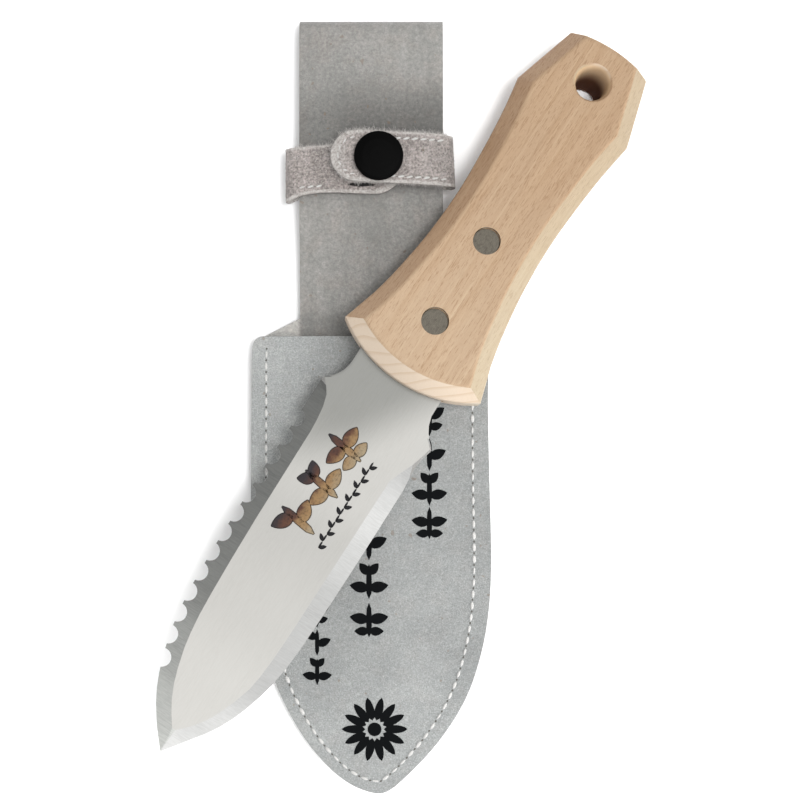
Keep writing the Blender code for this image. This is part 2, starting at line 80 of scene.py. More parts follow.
# Snap strap: x and height of the mid surface, from the hidden middle to each arm's tip
STRAP = 1.8
STRAP_HALF_WIDTH = 9.8
STRAP_BACK = ((0.0, 7.2), (10.0, 7.2), (20.0, 7.2), (26.0, 7.2), (29.5, 7.25), (31.4, 8.1),
              (32.1, 9.8))
RIGHT_ARM = ((32.1, 11.2), (32.1, 12.6), (31.5, 14.2), (29.8, 15.7), (26.0, 17.0), (20.0, 17.9),
             (12.0, 18.3), (3.1, 18.4), (-5.4, 18.2), (-8.0, 17.9), (-10.5, 17.5), (-12.6, 17.0),
             (-14.2, 16.6), (-15.1, 16.4))
LEFT_ARM = ((-32.1, 11.1), (-32.0, 12.1), (-31.2, 13.1), (-29.0, 13.9), (-24.0, 14.1),
            (-15.0, 13.7), (-5.0, 13.3), (2.8, 13.1), (5.2, 13.1), (7.7, 13.1), (9.9, 13.1),
            (11.5, 13.1), (12.5, 13.1))
HINGE_X = 33.0
RIGHT_HINGE_Y = 66.1
LEFT_HINGE_Y = 61.5
RIGHT_SLOPE = -0.0456
LEFT_SLOPE = 0.0768
RIGHT_TIP_X = -5.4
LEFT_TIP_X = 2.8
# How far the left arm's lower edge lies above a straight one: -x, rise
LEFT_DIP = ((33.5, -1.0), (31.5, -0.9), (30.0, -0.2), (28.0, 1.2), (20.0, 2.2), (9.0, 0.9),
            (0.0, -0.6), (-7.6, -0.4), (-13.0, 0.0))

# Stitches: spacing, half sizes and needle hole of the seams; spacing and hole on the strap
SEAM_PITCH = 4.55
SEAM_STITCH = (1.40, 0.57, 0.28)
SEAM_HOLE = 0.48
STRAP_PITCH = 3.25
STRAP_HOLE = 0.22

# Hairs of the strap: along a millimetre of edge, and on a square millimetre
EDGE_HAIRS = 20.0
NAP_HAIRS = 4.0

# Printed seedlings: x, heights and size of each column; and a daisy
PRINT_COLUMNS = ((22.6, (-33.0, -46.5, -60.0, -73.0), 12.6),
                 (-0.8, (-66.0, -80.5, -95.5, -110.5), 13.6),
                 (-21.0, (-108.5, -119.5, -131.0), 10.4))
PRINT_THICKNESS = 0.06
DAISY = (1.3, -153.4)
PETALS = 14

# Sprigs and vine on the blade, in the knife's frame, and the burnt rim round each leaf
SPRIG_X = (97.0, 113.0, 129.0)
SPRIG_SIZE = 15.6
BURNT_RIM = 0.38
VINE_X = 92.5
VINE_Y = -8.3
VINE_STEP = 2.9
VINE_LEAVES = 13

# Light on a level surface, and the room on its bright side and its dark side
STUDIO = 2.0
WORLD_BRIGHT = 0.50 * STUDIO
WORLD_DARK = 0.30 * STUDIO
DARK_SIDE = (-0.62, 0.55, 0.56)

# In metres. The floor lies under the thickness of the lowest stitches.
FLOOR_GAP = 0.0005
FLOOR_REACH = 3.0
CAMERA_PLACE = (0.0112, -0.0253, 0.540)
CAMERA_LENS = 61.58

# Distance of the seam from the edge: y, left side, right side
SEAM_INSET = ((0.0, 5.7, 5.6), (-60.0, 5.9, 6.6), (-105.0, 5.6, 6.8), (-140.0, 4.8, 6.2),
              (-179.0, 4.4, 4.8))

# The stitched rectangle that holds the end of the belt loop
LOOP_SEAM = ((-20.0, -9.0), (20.0, -9.0), (20.0, -22.0), (-20.0, -22.0), (-20.0, -9.0))

# Handle outline in the knife's frame, as in the CAD, with softly sanded edges
HALF_THICKNESS = 12.0
CHAMFER = 6.0
SANDED = 2.2
FRONT_APEX = 160.5
FRONT_CORNER = (170.0, 30.0)
SIDE = ((184.0, 25.8), (193.0, 23.9), (202.5, 22.4), (212.0, 21.2), (221.5, 20.5), (230.0, 20.2),
        (240.0, 20.3), (250.0, 20.9), (260.0, 21.7), (271.0, 22.9), (282.5, 24.7))
BUTT_CORNER = (308.1, 17.3)
BUTT_APEX = 310.8
BUTT_ROUND = 3.0
# The hang hole as seen from above: its mouth, and how far it shifts per unit of depth
HOLE = (294.9, 0.0)
HOLE_RADIUS = 5.6
HOLE_MOUTH = (HOLE[0] - 0.5, HOLE[1] - 0.3)
HOLE_LEAN = (-0.055, 0.005)
# Its radius at each height, from the sanded rim at the top to the underside
HOLE_PROFILE = ((8.5, 12.5), (7.5, 12.0), (7.0, 11.6), (6.55, 10.9), (6.2, 9.9), (5.95, 8.6),
                (5.75, 7.0), (HOLE_RADIUS, 5.2), (HOLE_RADIUS, -11.8), (5.8, -12.0),
                (5.95, -12.5))
RIVET_RADIUS = 5.15
RIVET_GAP = 0.03
RIVET_SEAT = 10.2
# The mortise for the tang: along, across, and half its height
MORTISE = ((150.0, 178.0), (-17.9, 19.7), 1.5)

# Painted light and shade on the leather: soft steps (axis, 0 here, 1 here) and the factor where
# they are 1
# Beside the upper arm's tip the lower arm is darker: painted shade under the tip, and a darker nap
SHADE_AND_NAP_BESIDE_TIP = ((0, -26.0, -17.0), (0, -10.0, -14.0))
# On the front: painted light, lighter on the left beside the knife and towards the point
FRONT_PAINTED_LIGHT = ((((0, -8.0, -30.0), (1, -140.0, -105.0)), 1.26),
                (((1, -118.0, -152.0),), 1.16))
# On the strip: painted lighter beside the pocket; painted shadow of the strap above and under it,
# and more just above it on the right; lighter below the strap on the left; painted shadow just
# above the pocket's mouth; lighter at the upper right, a little darker at the upper left
STRIP_PAINTED_LIGHT = (
    (((0, -27.5, -29.0),), 1.5),
    (((1, 99.0, 82.0), (1, 52.0, 60.0)), 0.72),
    (((0, -19.0, -4.0), (1, 105.0, 93.0), (1, 58.0, 80.0)), 0.80),
    (((0, -4.0, -24.0), (1, 60.0, 42.0)), 1.14),
    (((0, -28.5, -27.0), (0, -9.0, -15.0), (1, 12.0, 5.0)), 0.76),
    (((0, -14.0, 22.0), (1, 86.0, 100.0)), 1.20),
    (((0, -10.0, -26.0), (1, 88.0, 108.0)), 0.96))


# ---------------------------------------------------------------- places

def middle(node):
    low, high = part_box(node)
    return (low + high) * 0.5


def knife_space():
    """Matrix from the knife's own millimetres to the row frame."""
    front = middle("front_rivet_tube")
    rear = middle("rear_rivet_tube")
    along = (rear - front).normalized()
    across = Vector((-along.y, along.x, 0.0)).normalized()
    up = along.cross(across)
    turn = Matrix((along, across, up)).transposed().to_4x4()
    place = Matrix.Translation(front) @ turn @ Matrix.Scale(MM, 4)
    return place @ Matrix.Translation(Vector((-RIVET_X[0], -RIVET_Y, -RIVET_W)))


KNIFE = knife_space()
KNIFE_TURN = KNIFE.to_3x3().normalized()
KNIFE_ALONG, KNIFE_ACROSS, KNIFE_UP = KNIFE_TURN.transposed()


# ---------------------------------------------------------------- materials

def grey(value):
    return (value,) * 3


def shade(colour, factor):
    return tuple(c * factor for c in colour)


class Look:
    """A Principled material with short calls for its node tree."""

    def __init__(self, name, roughness, metallic=0.0, space="object"):
        self.material = bpy.data.materials.new(name)
        self.material.use_nodes = True
        self.tree = self.material.node_tree
        self.shader = self.tree.nodes["Principled BSDF"]
        self.set("Roughness", roughness)
        self.set("Metallic", metallic)
        self.space = self.make_space(space)
        self.normal = None

    def set(self, socket, value):
        """Colours are written as they look; the studio is brighter, so surfaces are darker."""
        if socket == "Base Color":
            value = self.tint(value, 1.0 / STUDIO)
        self.feed(self.shader.inputs[socket], value)

    def feed(self, socket, value):
        if isinstance(value, bpy.types.NodeSocket):
            self.tree.links.new(value, socket)
        else:
            socket.default_value = value

    def node(self, kind, sockets=(), **settings):
        made = self.tree.nodes.new("ShaderNode" + kind)
        for name, value in settings.items():
            setattr(made, name, value)
        for key, value in dict(sockets).items():
            self.feed(made.inputs[key], value)
        return made

    def make_space(self, space):
        """Texture coordinates in millimetres: along the knife, along a band, or as placed."""
        if space == "band":
            return self.node("Attribute", attribute_name="rest_mm").outputs["Vector"]
        source = self.node("TexCoord").outputs["Object"]
        mapping = self.node("Mapping", {"Vector": source, "Scale": (MM, MM, MM)},
                            vector_type="TEXTURE")
        if space == "knife":
            mapping.inputs["Location"].default_value = KNIFE.to_translation()
            mapping.inputs["Rotation"].default_value = KNIFE_TURN.to_euler()
        return mapping.outputs["Vector"]

    def stretched(self, scale):
        mapping = self.node("Mapping", {"Vector": self.space, "Scale": scale})
        return mapping.outputs["Vector"]

    def axis(self, index):
        return self.node("SeparateXYZ", {"Vector": self.space}).outputs[index]

    def noise(self, scale, detail=2.0, roughness=0.5):
        """Noise between about 0.3 and 0.7; a triple scale stretches it along each axis."""
        space = self.space
        if isinstance(scale, tuple):
            space, scale = self.stretched(scale), 1.0
        made = self.node("TexNoise", {"Vector": space, "Scale": scale, "Detail": detail,
                                      "Roughness": roughness})
        return made.outputs["Fac"]

    def maths(self, operation, a, b=0.0, clamp=False):
        made = self.node("Math", {0: a, 1: b}, operation=operation, use_clamp=clamp)
        return made.outputs[0]

    def times(self, a, b, clamp=False):
        return self.maths("MULTIPLY", a, b, clamp)

    def plus(self, a, b):
        return self.maths("ADD", a, b)

    def rise(self, value, low, high):
        """0 below low, 1 above high."""
        made = self.node("MapRange", {"Value": value, "From Min": low, "From Max": high},
                         interpolation_type="SMOOTHSTEP")
        return made.outputs["Result"]

    def mix(self, factor, a, b, blend="MIX"):
        made = self.node("Mix", {0: factor}, data_type="RGBA", blend_type=blend)
        for socket, value in ((made.inputs[6], a), (made.inputs[7], b)):
            if isinstance(value, tuple) and len(value) == 3:
                value = (*value, 1.0)
            self.feed(socket, value)
        return made.outputs[2]

    def tint(self, tone, factors):
        """The tone times a colour or a number."""
        if isinstance(factors, float):
            factors = grey(factors)
        return self.mix(1.0, tone, factors, "MULTIPLY")

    def lay(self, tone, amount, colour, share=1.0):
        """A share of the colour over the tone, where the amount is 1."""
        return self.mix(amount if share == 1.0 else self.times(amount, share), tone, colour)

    def dye(self, tone, amount, factors, share=1.0):
        """The tone times the factors, where the amount is 1."""
        return self.lay(tone, amount, self.tint(tone, factors), share)

    def bump(self, height, distance, strength=1.0):
        made = self.node("Bump", {"Height": height, "Distance": distance * MM,
                                  "Strength": strength})
        if self.normal:
            self.feed(made.inputs["Normal"], self.normal)
        self.normal = made.outputs["Normal"]
        self.set("Normal", self.normal)

    def along(self, stops, reach=170.0, top=4.0):
        """A factor that follows (place, factor) stops along the first axis."""
        place = self.times(self.axis(0), 1.0 / reach, clamp=True)
        ramp = self.node("ValToRGB", {"Fac": place})
        ramp.color_ramp.interpolation = "EASE"
        points = ramp.color_ramp.elements
        while len(points) < len(stops):
            points.new(0.5)
        for point, (x, factor) in zip(points, stops):
            point.position = x / reach
            point.color = (*grey(factor / top), 1.0)
        return self.times(ramp.outputs["Color"], top)

    def facing(self, direction):
        """How far the surface faces a fixed direction of the row frame."""
        normal = self.node("NewGeometry").outputs["Normal"]
        made = self.node("VectorMath", {0: normal, 1: direction}, operation="DOT_PRODUCT")
        return made.outputs["Value"]


def patch(look, steps):
    """Product of soft steps, each (axis, where it is 0, where it is 1)."""
    amount = 1.0
    for axis, low, high in steps:
        amount = look.times(look.rise(look.axis(axis), low, high), amount)
    return amount


def suede(name, colour, warm, space="object", nap=0.10, streaks=0.0, contrast=0.35,
          coarse=1.8, painted_light_and_blotches=(), rim=False, mottling=0.0):
    """Split leather: a mottled nap, fine fibres, soft patches and a few stray specks; the given
    areas add painted light and shade, or blotches.
    """
    look = Look(name, 0.95, space=space)
    fibres = look.noise(2.6, 4.0, 0.75)
    grain = look.noise(coarse, 2.0, 0.7)
    patches = look.noise(0.055, 3.0, 0.55)
    tone = look.mix(look.rise(patches, 0.35, 0.68), shade(colour, 0.93), warm)
    tone = look.lay(tone, look.rise(grain, 0.50, 0.68), shade(colour, 1.75), contrast)
    tone = look.lay(tone, look.rise(grain, 0.50, 0.32), shade(colour, 0.45), contrast)
    if mottling:
        mottle = look.noise(0.75, 2.0, 0.6)
        stain = look.noise(0.13, 2.0, 0.6)
        for amount, factors in ((look.rise(mottle, 0.50, 0.68), (1.34, 1.32, 1.30)),
                                (look.rise(mottle, 0.50, 0.32), (0.70, 0.70, 0.71)),
                                (look.rise(stain, 0.45, 0.65), (1.02, 0.97, 0.95))):
            tone = look.dye(tone, amount, factors, mottling)
    # Painted light and shade in the given areas, and for the strap its blotches too
    for area, factor in painted_light_and_blotches:
        tone = look.dye(tone, area(look) if callable(area) else patch(look, area), factor)
    if rim:
        edge = look.node("Attribute", attribute_name="rim").outputs["Fac"]
        ragged = look.times(look.noise(0.9, 3.0, 0.7), 0.8)
        pale = look.mix(look.rise(grain, 0.35, 0.65), (0.610, 0.560, 0.525), (0.940, 0.900, 0.860))
        tone = look.lay(tone, look.rise(look.plus(edge, ragged), 0.76, 1.10), pale)
    if streaks:
        bands = look.noise((0.16, 0.03, 0.1), 3.0, 0.6)
        tone = look.lay(tone, look.rise(bands, 0.40, 0.70), shade(colour, 0.60), streaks)
    specks = look.noise(0.42, 0.0, 0.5)
    tone = look.lay(tone, look.rise(specks, 0.81, 0.84), (0.30, 0.20, 0.13), 0.45)
    look.set("Base Color", tone)
    look.set("Sheen Weight", 0.25)
    look.set("Sheen Roughness", 0.5)
    look.set("Specular IOR Level", 0.15)
    look.bump(fibres, nap * 2.2)
    look.bump(grain, nap * 3.0, 0.6)
    return look.material


def cut_edge(name, colour, space="object"):
    """The paler, fibrous side of cut leather."""
    look = Look(name, 0.95, space=space)
    layers = look.noise((0.7, 0.7, 2.6), 3.0, 0.7)
    look.set("Base Color", look.mix(look.rise(layers, 0.3, 0.7), shade(colour, 0.72),
                                    shade(colour, 1.12)))
    look.set("Specular IOR Level", 0.1)
    look.bump(layers, 0.3)
    return look.material


def thread_look():
    look = Look("stitch_thread", 0.8)
    twist = look.noise(2.8, 2.0, 0.6)
    look.set("Base Color", look.mix(look.rise(twist, 0.3, 0.7), (0.78, 0.77, 0.74),
                                    (1.05, 1.04, 1.02)))
    look.set("Sheen Weight", 0.3)
    look.bump(twist, 0.12)
    return look.material


def hole_shade_look():
    # Painted shade: flat dark marks where the needle holes are
    look = Look("stitch_hole_shade", 1.0)
    grain = look.noise(3.0)
    look.set("Base Color", look.mix(grain, (0.10, 0.095, 0.08), (0.26, 0.25, 0.23)))
    look.bump(grain, 0.1)
    return look.material


def print_look():
    """Black screen print that the nap shows through in places."""
    look = Look("black_print", 0.9)
    look.set("Specular IOR Level", 0.02)
    wear = look.noise(2.2, 4.0, 0.8)
    look.set("Base Color", look.mix(look.rise(wear, 0.70, 0.80), (0.009, 0.010, 0.011),
                                    (0.22, 0.225, 0.225)))
    look.bump(wear, 0.10)
    return look.material


def beech():
    """Steamed beech: growth rings round a pith below the handle, ray flecks and pores."""
    look = Look("beech_wood", 0.5, space="knife")
    x, y, w = (look.axis(index) for index in range(3))
    drift = look.times(look.noise((0.012, 0.03, 0.03)), 16.0)
    side = look.plus(look.plus(y, 30.0), drift)
    height = look.plus(look.plus(w, 34.0), look.times(x, 0.035))
    radius = look.maths("SQRT", look.plus(look.times(side, side), look.times(height, height)))
    rings = look.maths("FRACT", look.times(radius, 0.27))
    flecks = look.noise((0.36, 3.4, 1.2), 1.0)
    fleck = look.rise(flecks, 0.565, 0.66)
    pores = look.noise((0.9, 7.0, 7.0), 2.0, 0.7)
    lines = look.noise((0.012, 0.95, 0.95), 3.0, 0.7)
    tone = (0.630, 0.445, 0.290)
    for amount, colour, share in (
            (look.rise(rings, 0.45, 1.0), (0.555, 0.375, 0.232), 0.75),
            (look.rise(look.noise((0.02, 0.12, 0.12)), 0.35, 0.7), (0.600, 0.425, 0.280), 1.0),
            (fleck, (0.385, 0.228, 0.130), 0.55),
            (look.rise(pores, 0.52, 0.72), (0.410, 0.258, 0.152), 0.42),
            (look.rise(lines, 0.50, 0.72), (0.445, 0.285, 0.172), 0.40),
            (look.rise(lines, 0.46, 0.28), (0.760, 0.585, 0.405), 0.40)):
        tone = look.lay(tone, amount, colour, share)
    arcs = look.lay((0.895, 0.735, 0.592), look.rise(rings, 0.6, 1.0), (0.735, 0.550, 0.400), 0.65)
    tone = look.lay(tone, look.rise(look.facing(-KNIFE_ALONG), 0.45, 0.65), arcs, 0.85)
    # Lighter towards the front: painted light; towards the butt also a little yellower
    tone = look.mix(look.rise(x, 168.0, 262.0), look.tint(tone, (1.14, 1.16, 1.15)),
                    look.tint(tone, (1.00, 0.965, 0.905)))
    # Painted shade and light by the way each chamfer faces: darker and redder on the toothed side,
    # lighter and less orange on the other
    tone = look.dye(tone, look.rise(look.facing(KNIFE_ACROSS), 0.40, 0.66), (0.93, 0.865, 0.82))
    painted_light_tone = look.mix(0.3, look.tint(tone, (0.93, 1.065, 1.14)), (0.595, 0.474, 0.323))
    tone = look.lay(tone, look.rise(look.facing(-KNIFE_ACROSS), 0.40, 0.66), painted_light_tone)
    # Round the mouth of the hang hole the sanded end grain is bright orange: partly its own colour,
    # partly painted light
    from_hole = look.node("VectorMath", {0: look.stretched((1.0, 1.0, 0.0)), 1: (*HOLE, 0.0)},
                          operation="DISTANCE").outputs["Value"]
    rim = look.times(look.rise(from_hole, 7.6, 6.9), look.rise(w, 12.0, 10.8))
    tone = look.lay(tone, rim, (0.900, 0.620, 0.370), 0.8)
    # Painted shade in the bore, darker with depth; there the wood is also rougher
    painted_shade_in_bore = look.times(look.rise(from_hole, 6.3, 5.8), look.rise(w, 8.5, -2.0))
    look.set("Base Color", look.lay(tone, painted_shade_in_bore, (0.225, 0.088, 0.045)))
    look.set("Roughness", look.lay(look.mix(fleck, grey(0.44), grey(0.60)), painted_shade_in_bore, grey(1.0)))
    look.set("Specular IOR Level", 0.35)
    look.bump(pores, 0.05)
    look.bump(flecks, 0.03)
    return look.material


def brushed(name, dark, light, stretch, roughness, metallic, stops, painted_neck_shade=False):
    """Ground steel whose fine lines run along the stretched axis of the knife's frame."""
    look = Look(name, roughness, metallic, space="knife")
    lines = look.noise(stretch, 3.0, 0.75)
    broad = look.noise(shade(stretch, 0.16))
    tone = look.mix(look.rise(lines, 0.25, 0.75), dark, light)
    tone = look.lay(tone, look.rise(broad, 0.3, 0.7), light, 0.35)
    # Painted reflection: the stops make the steel lighter and darker along the blade
    tone = look.tint(tone, look.along(stops))
    if painted_neck_shade:
        # Painted shade on the neck, next to the handle's front end
        side = look.plus(look.axis(1), look.times(look.axis(0), 0.625))
        corner = look.times(look.rise(look.axis(0), 100.0, 140.0), look.rise(side, 73.7, 97.5))
        tone = look.dye(tone, corner, (0.57, 0.58, 0.575))
    look.set("Base Color", tone)
    look.set("Roughness", look.mix(lines, grey(roughness - 0.07), grey(roughness + 0.08)))
    look.bump(lines, 0.012)
    return look.material


def tinted_engraving(name, depth):
    """Laser marking: heat colours from blue-black at the toothed side to gold; depth darkens."""
    look = Look(name, 0.45, 0.3, space="knife")
    place = look.plus(look.axis(1), look.times(look.noise(0.35), 7.0))
    tone = (0.022, 0.014, 0.020)
    for start, end, colour in ((14.0, 9.0, (0.120, 0.038, 0.016)),
                               (10.0, 5.5, (0.400, 0.235, 0.095)),
                               (6.0, -1.0, (0.470, 0.365, 0.225))):
        tone = look.lay(tone, look.rise(place, start, end), colour)
    grain = look.noise(1.1, 3.0, 0.7)
    tone = look.dye(tone, look.rise(grain, 0.45, 0.75), 0.5)
    look.set("Base Color", look.tint(tone, depth))
    look.bump(look.noise(3.0), 0.04)
    return look.material


def black_ink():
    look = Look("blade_ink", 0.7, space="knife")
    look.set("Specular IOR Level", 0.15)
    grain = look.noise(2.0)
    look.set("Base Color", look.mix(grain, (0.010, 0.010, 0.012), (0.03, 0.03, 0.032)))
    look.bump(grain, 0.02)
    return look.material


def enamel():
    """Gloss black paint with an orange-peel ripple and a little dust."""
    look = Look("gloss_black_enamel", 0.20)
    look.set("Specular IOR Level", 0.03)
    dust = look.noise(4.0, 3.0, 0.7)
    look.set("Base Color", look.mix(look.rise(dust, 0.62, 0.8), grey(0.003), grey(0.010)))
    look.set("Roughness", look.mix(dust, grey(0.24), grey(0.34)))
    look.bump(look.noise(0.8), 0.03)
    return look.material


def rivet_look():
    """Flush-ground rivet heads: cross scratches and a dull oxide."""
    look = Look("rivet_steel", 0.45, 0.9, space="knife")
    scratches = look.noise((0.6, 6.0, 1.0), 3.0, 0.8)
    stain = look.noise(0.5, 3.0, 0.6)
    tone = look.mix(look.rise(scratches, 0.3, 0.7), (0.196, 0.176, 0.146), (0.330, 0.296, 0.238))
    look.set("Base Color", look.lay(tone, look.rise(stain, 0.5, 0.7), (0.140, 0.120, 0.098), 0.4))
    look.bump(scratches, 0.02)
    return look.material


def plated():
    look = Look("plated_steel", 0.3, 1.0)
    smear = look.noise(0.6, 3.0)
    look.set("Base Color", look.mix(smear, (0.48, 0.48, 0.47), (0.62, 0.62, 0.61)))
    look.set("Roughness", look.mix(smear, grey(0.22), grey(0.40)))
    look.bump(look.noise(3.0), 0.01)
    return look.material


def floor_look():
    look = Look("floor", 0.9)
    paper = grey(0.97 * STUDIO)
    look.set("Base Color", look.mix(look.noise(0.02), paper, shade(paper, 0.99)))
    look.set("Specular IOR Level", 0.0)
    return look.material


# ---------------------------------------------------------------- mesh helpers

def new_object(name, mesh, materials):
    obj = bpy.data.objects.new(name, mesh)
    bpy.context.scene.collection.objects.link(obj)
    for material in materials:
        mesh.materials.append(material)
    return obj


def stand_for(obj, body, slot, *nodes):
    if body:
        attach(obj, body)
    if nodes:
        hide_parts(*nodes)
    return obj


def apply_modifiers(obj):
    graph = bpy.context.evaluated_depsgraph_get()
    graph.update()
    mesh = bpy.data.meshes.new_from_object(obj.evaluated_get(graph))
    obj.modifiers.clear()
    obj.data = mesh


def soften(obj, width, levels):
    """Round the sharp edges, then subdivide."""
    bevel = obj.modifiers.new("round_edges", "BEVEL")
    bevel.width = width * MM
    bevel.segments = 2
    bevel.limit_method = "ANGLE"
    bevel.angle_limit = math.radians(40.0)
    rounder = obj.modifiers.new("smooth", "SUBSURF")
    rounder.levels = levels
    rounder.render_levels = levels
    apply_modifiers(obj)


@contextmanager
def editing(mesh):
    """A bmesh of the mesh, written back at the end."""
    editable = bmesh.new()
    editable.from_mesh(mesh)
    yield editable
    editable.to_mesh(mesh)
    editable.free()


def copy_node(node, name, materials):
    """A copy of a CAD node's mesh with its triangles joined back into larger faces."""
    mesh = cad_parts[node].data.copy()
    mesh.materials.clear()
    with editing(mesh) as editable:
        bmesh.ops.remove_doubles(editable, verts=editable.verts, dist=1e-6)
        bmesh.ops.join_triangles(editable, faces=editable.faces, angle_face_threshold=0.12,
                                 angle_shape_threshold=3.1)
    return new_object(name, mesh, materials)


def wave(obj, amplitude, size, seed):
    """Leather is never quite flat: move points by a slow noise."""
    shift = Vector((seed * 7.3, seed * 3.1, seed * 5.7))
    for vertex in obj.data.vertices:
        place = vertex.co / (size * MM) + shift
        vertex.co.z += noise.noise(place) * amplitude * MM


def quads(low, high, size):
    """Faces between two rings of points that start at low and high."""
    return [(low + k, low + (k + 1) % size, high + (k + 1) % size, high + k) for k in range(size)]


def circle(count):
    """Cosine and sine of evenly spaced directions."""
    turns = [2.0 * math.pi * k / count for k in range(count)]
    return [(math.cos(turn), math.sin(turn)) for turn in turns]


def keep_rest_place(obj):
    """Store each point's place in millimetres, so that a bending piece keeps its texture."""
    layer = obj.data.attributes.new("rest_mm", "FLOAT_VECTOR", "POINT")
    for vertex in obj.data.vertices:
        layer.data[vertex.index].vector = vertex.co / MM


def surface_of(obj):
    bpy.context.view_layer.update()
    graph = bpy.context.evaluated_depsgraph_get()
    return BVHTree.FromObject(obj, graph)


def drop(tree, x, y, side=1.0):
    """Height and normal of the surface met from above, or from below for side -1, in
    millimetres."""
    place, normal, _, _ = tree.ray_cast(Vector((x, y, 200.0 * side)) * MM,
                                        Vector((0.0, 0.0, -side)))
    return (place.z / MM, normal) if place else (None, None)


class Solid:
    """Collects closed pieces of one mesh, in millimetres; faces carry a material index."""

    def __init__(self):
        self.points = []
        self.faces = []
        self.slots = []

    def add(self, points, faces, slot=0):
        start = len(self.points)
        self.points += points
        self.faces += [tuple(start + i for i in face) for face in faces]
        self.slots += [slot] * len(faces)

    def build(self, name, materials, smooth=True):
        mesh = bpy.data.meshes.new(name)
        mesh.from_pydata([Vector(p) * MM for p in self.points], [], self.faces)
        for polygon, slot in zip(mesh.polygons, self.slots):
            polygon.material_index = slot
            polygon.use_smooth = smooth
        with editing(mesh) as editable:
            bmesh.ops.recalc_face_normals(editable, faces=editable.faces)
        return new_object(name, mesh, materials)


def sheet(rows, thickness):
    """A closed sheet from a grid of mid-surface points; its cut edges get slot 1."""
    grid = [[Vector(p) for p in row] for row in rows]
    columns = len(grid[0])
    size = 2 * columns
    solid = Solid()
    for i, row in enumerate(grid):
        before = grid[max(i - 1, 0)]
        after = grid[min(i + 1, len(grid) - 1)]
        halves = []
        for j in range(columns):
            across = row[min(j + 1, columns - 1)] - row[max(j - 1, 0)]
            halves.append((after[j] - before[j]).cross(across).normalized() * thickness * 0.5)
        solid.points += [p + half for p, half in zip(row, halves)]
        solid.points += [p - half for p, half in zip(row, halves)][::-1]
        if i:
            solid.faces += quads((i - 1) * size, i * size, size)
            solid.slots += [int(k in (columns - 1, size - 1)) for k in range(size)]
    for start in (0, len(solid.points) - size):
        for j in range(columns - 1):
            end = start + size - 1 - j
            solid.faces.append((start + j, start + j + 1, end - 1, end))
            solid.slots.append(1)
    return solid


def ellipsoid(solid, place, along, up, sizes, slot, around=8, steps=6):
    """A round-ended grain with half sizes along, across and up."""
    length = along * sizes[0]
    width = up.cross(along).normalized() * sizes[1]
    height = up * sizes[2]
    points = [place - length]
    for i in range(1, steps):
        angle = math.pi * i / steps
        points += [place - length * math.cos(angle) + (width * c + height * s) * math.sin(angle)
                   for c, s in circle(around)]
    points.append(place + length)
    last = 1 + (steps - 2) * around
    faces = [(0, 1 + (k + 1) % around, 1 + k) for k in range(around)]
    faces += [(last + k, last + (k + 1) % around, len(points) - 1) for k in range(around)]
    for low in range(1, last, around):
        faces += quads(low, low + around, around)
    solid.add(points, faces, slot)


# ---------------------------------------------------------------- sheath

def is_rim(polygon):
    """Cut edges stand upright; the fold at the top of the belt loop doesn't count."""
    folded = polygon.center.y > 0.1165 and abs(polygon.normal.x) < 0.5
    return abs(polygon.normal.z) < 0.35 and not folded


def make_panel(node, name, slot, materials, seed):
    obj = copy_node(node, name, materials)
    for polygon in obj.data.polygons:
        polygon.material_index = 1 if is_rim(polygon) else 0
        polygon.use_smooth = True
    soften(obj, 0.55, 2)
    wave(obj, 0.30, 24.0, seed)
    obj.data.shade_smooth()
    return stand_for(obj, "sheath", slot, node)


def edges_at(mesh, y):
    """Left and right ends of a mesh on a line of constant y, in millimetres."""
    crossings = []
    for edge in mesh.edges:
        a, b = (mesh.vertices[i].co / MM for i in edge.vertices)
        if (a.y - y) * (b.y - y) < 0.0:
            crossings.append(a.x + (b.x - a.x) * (y - a.y) / (b.y - a.y))
    return min(crossings), max(crossings)


def seam_path(mesh):
    """From the left of the mouth down to the point and up again on the right."""
    heights = [-5.0 - 4.0 * i for i in range(36)] + [-148.0 - 2.0 * i for i in range(15)]
    heights.append(-178.4)
    ends = [edges_at(mesh, y) for y in heights]
    sides = []
    for side in (0, 1):
        edge = [Vector((end[side], y)) for end, y in zip(ends, heights)]
        moved = []
        for i, point in enumerate(edge):
            step = edge[min(i + 1, len(edge) - 1)] - edge[max(i - 1, 0)]
            inward = Vector((-step.y, step.x)).normalized() * (1.0 - 2.0 * side)
            moved.append(point + inward * value_at(SEAM_INSET, point.y, 1 + side))
        sides.append(moved)
    left, right = sides
    keep = [i for i in range(len(left)) if left[i].x < right[i].x - 0.6]
    return [left[i] for i in keep] + [right[i] for i in reversed(keep)]


def value_at(table, key, column):
    """Linear reading of a table whose first column falls."""
    for above, below in zip(table, table[1:]):
        if above[0] >= key >= below[0]:
            share = (above[0] - key) / (above[0] - below[0])
            return above[column] + (below[column] - above[column]) * share
    return table[0][column] if key > table[0][0] else table[-1][column]


def evenly(points, spacing):
    """Points at an even spacing along a polyline."""
    picked = [points[0]]
    travelled = 0.0
    for a, b in zip(points, points[1:]):
        length = (b - a).length
        while length > 0.0 and travelled + length >= spacing * len(picked):
            share = (spacing * len(picked) - travelled) / length
            picked.append(a.lerp(b, share))
        travelled += length
    return picked


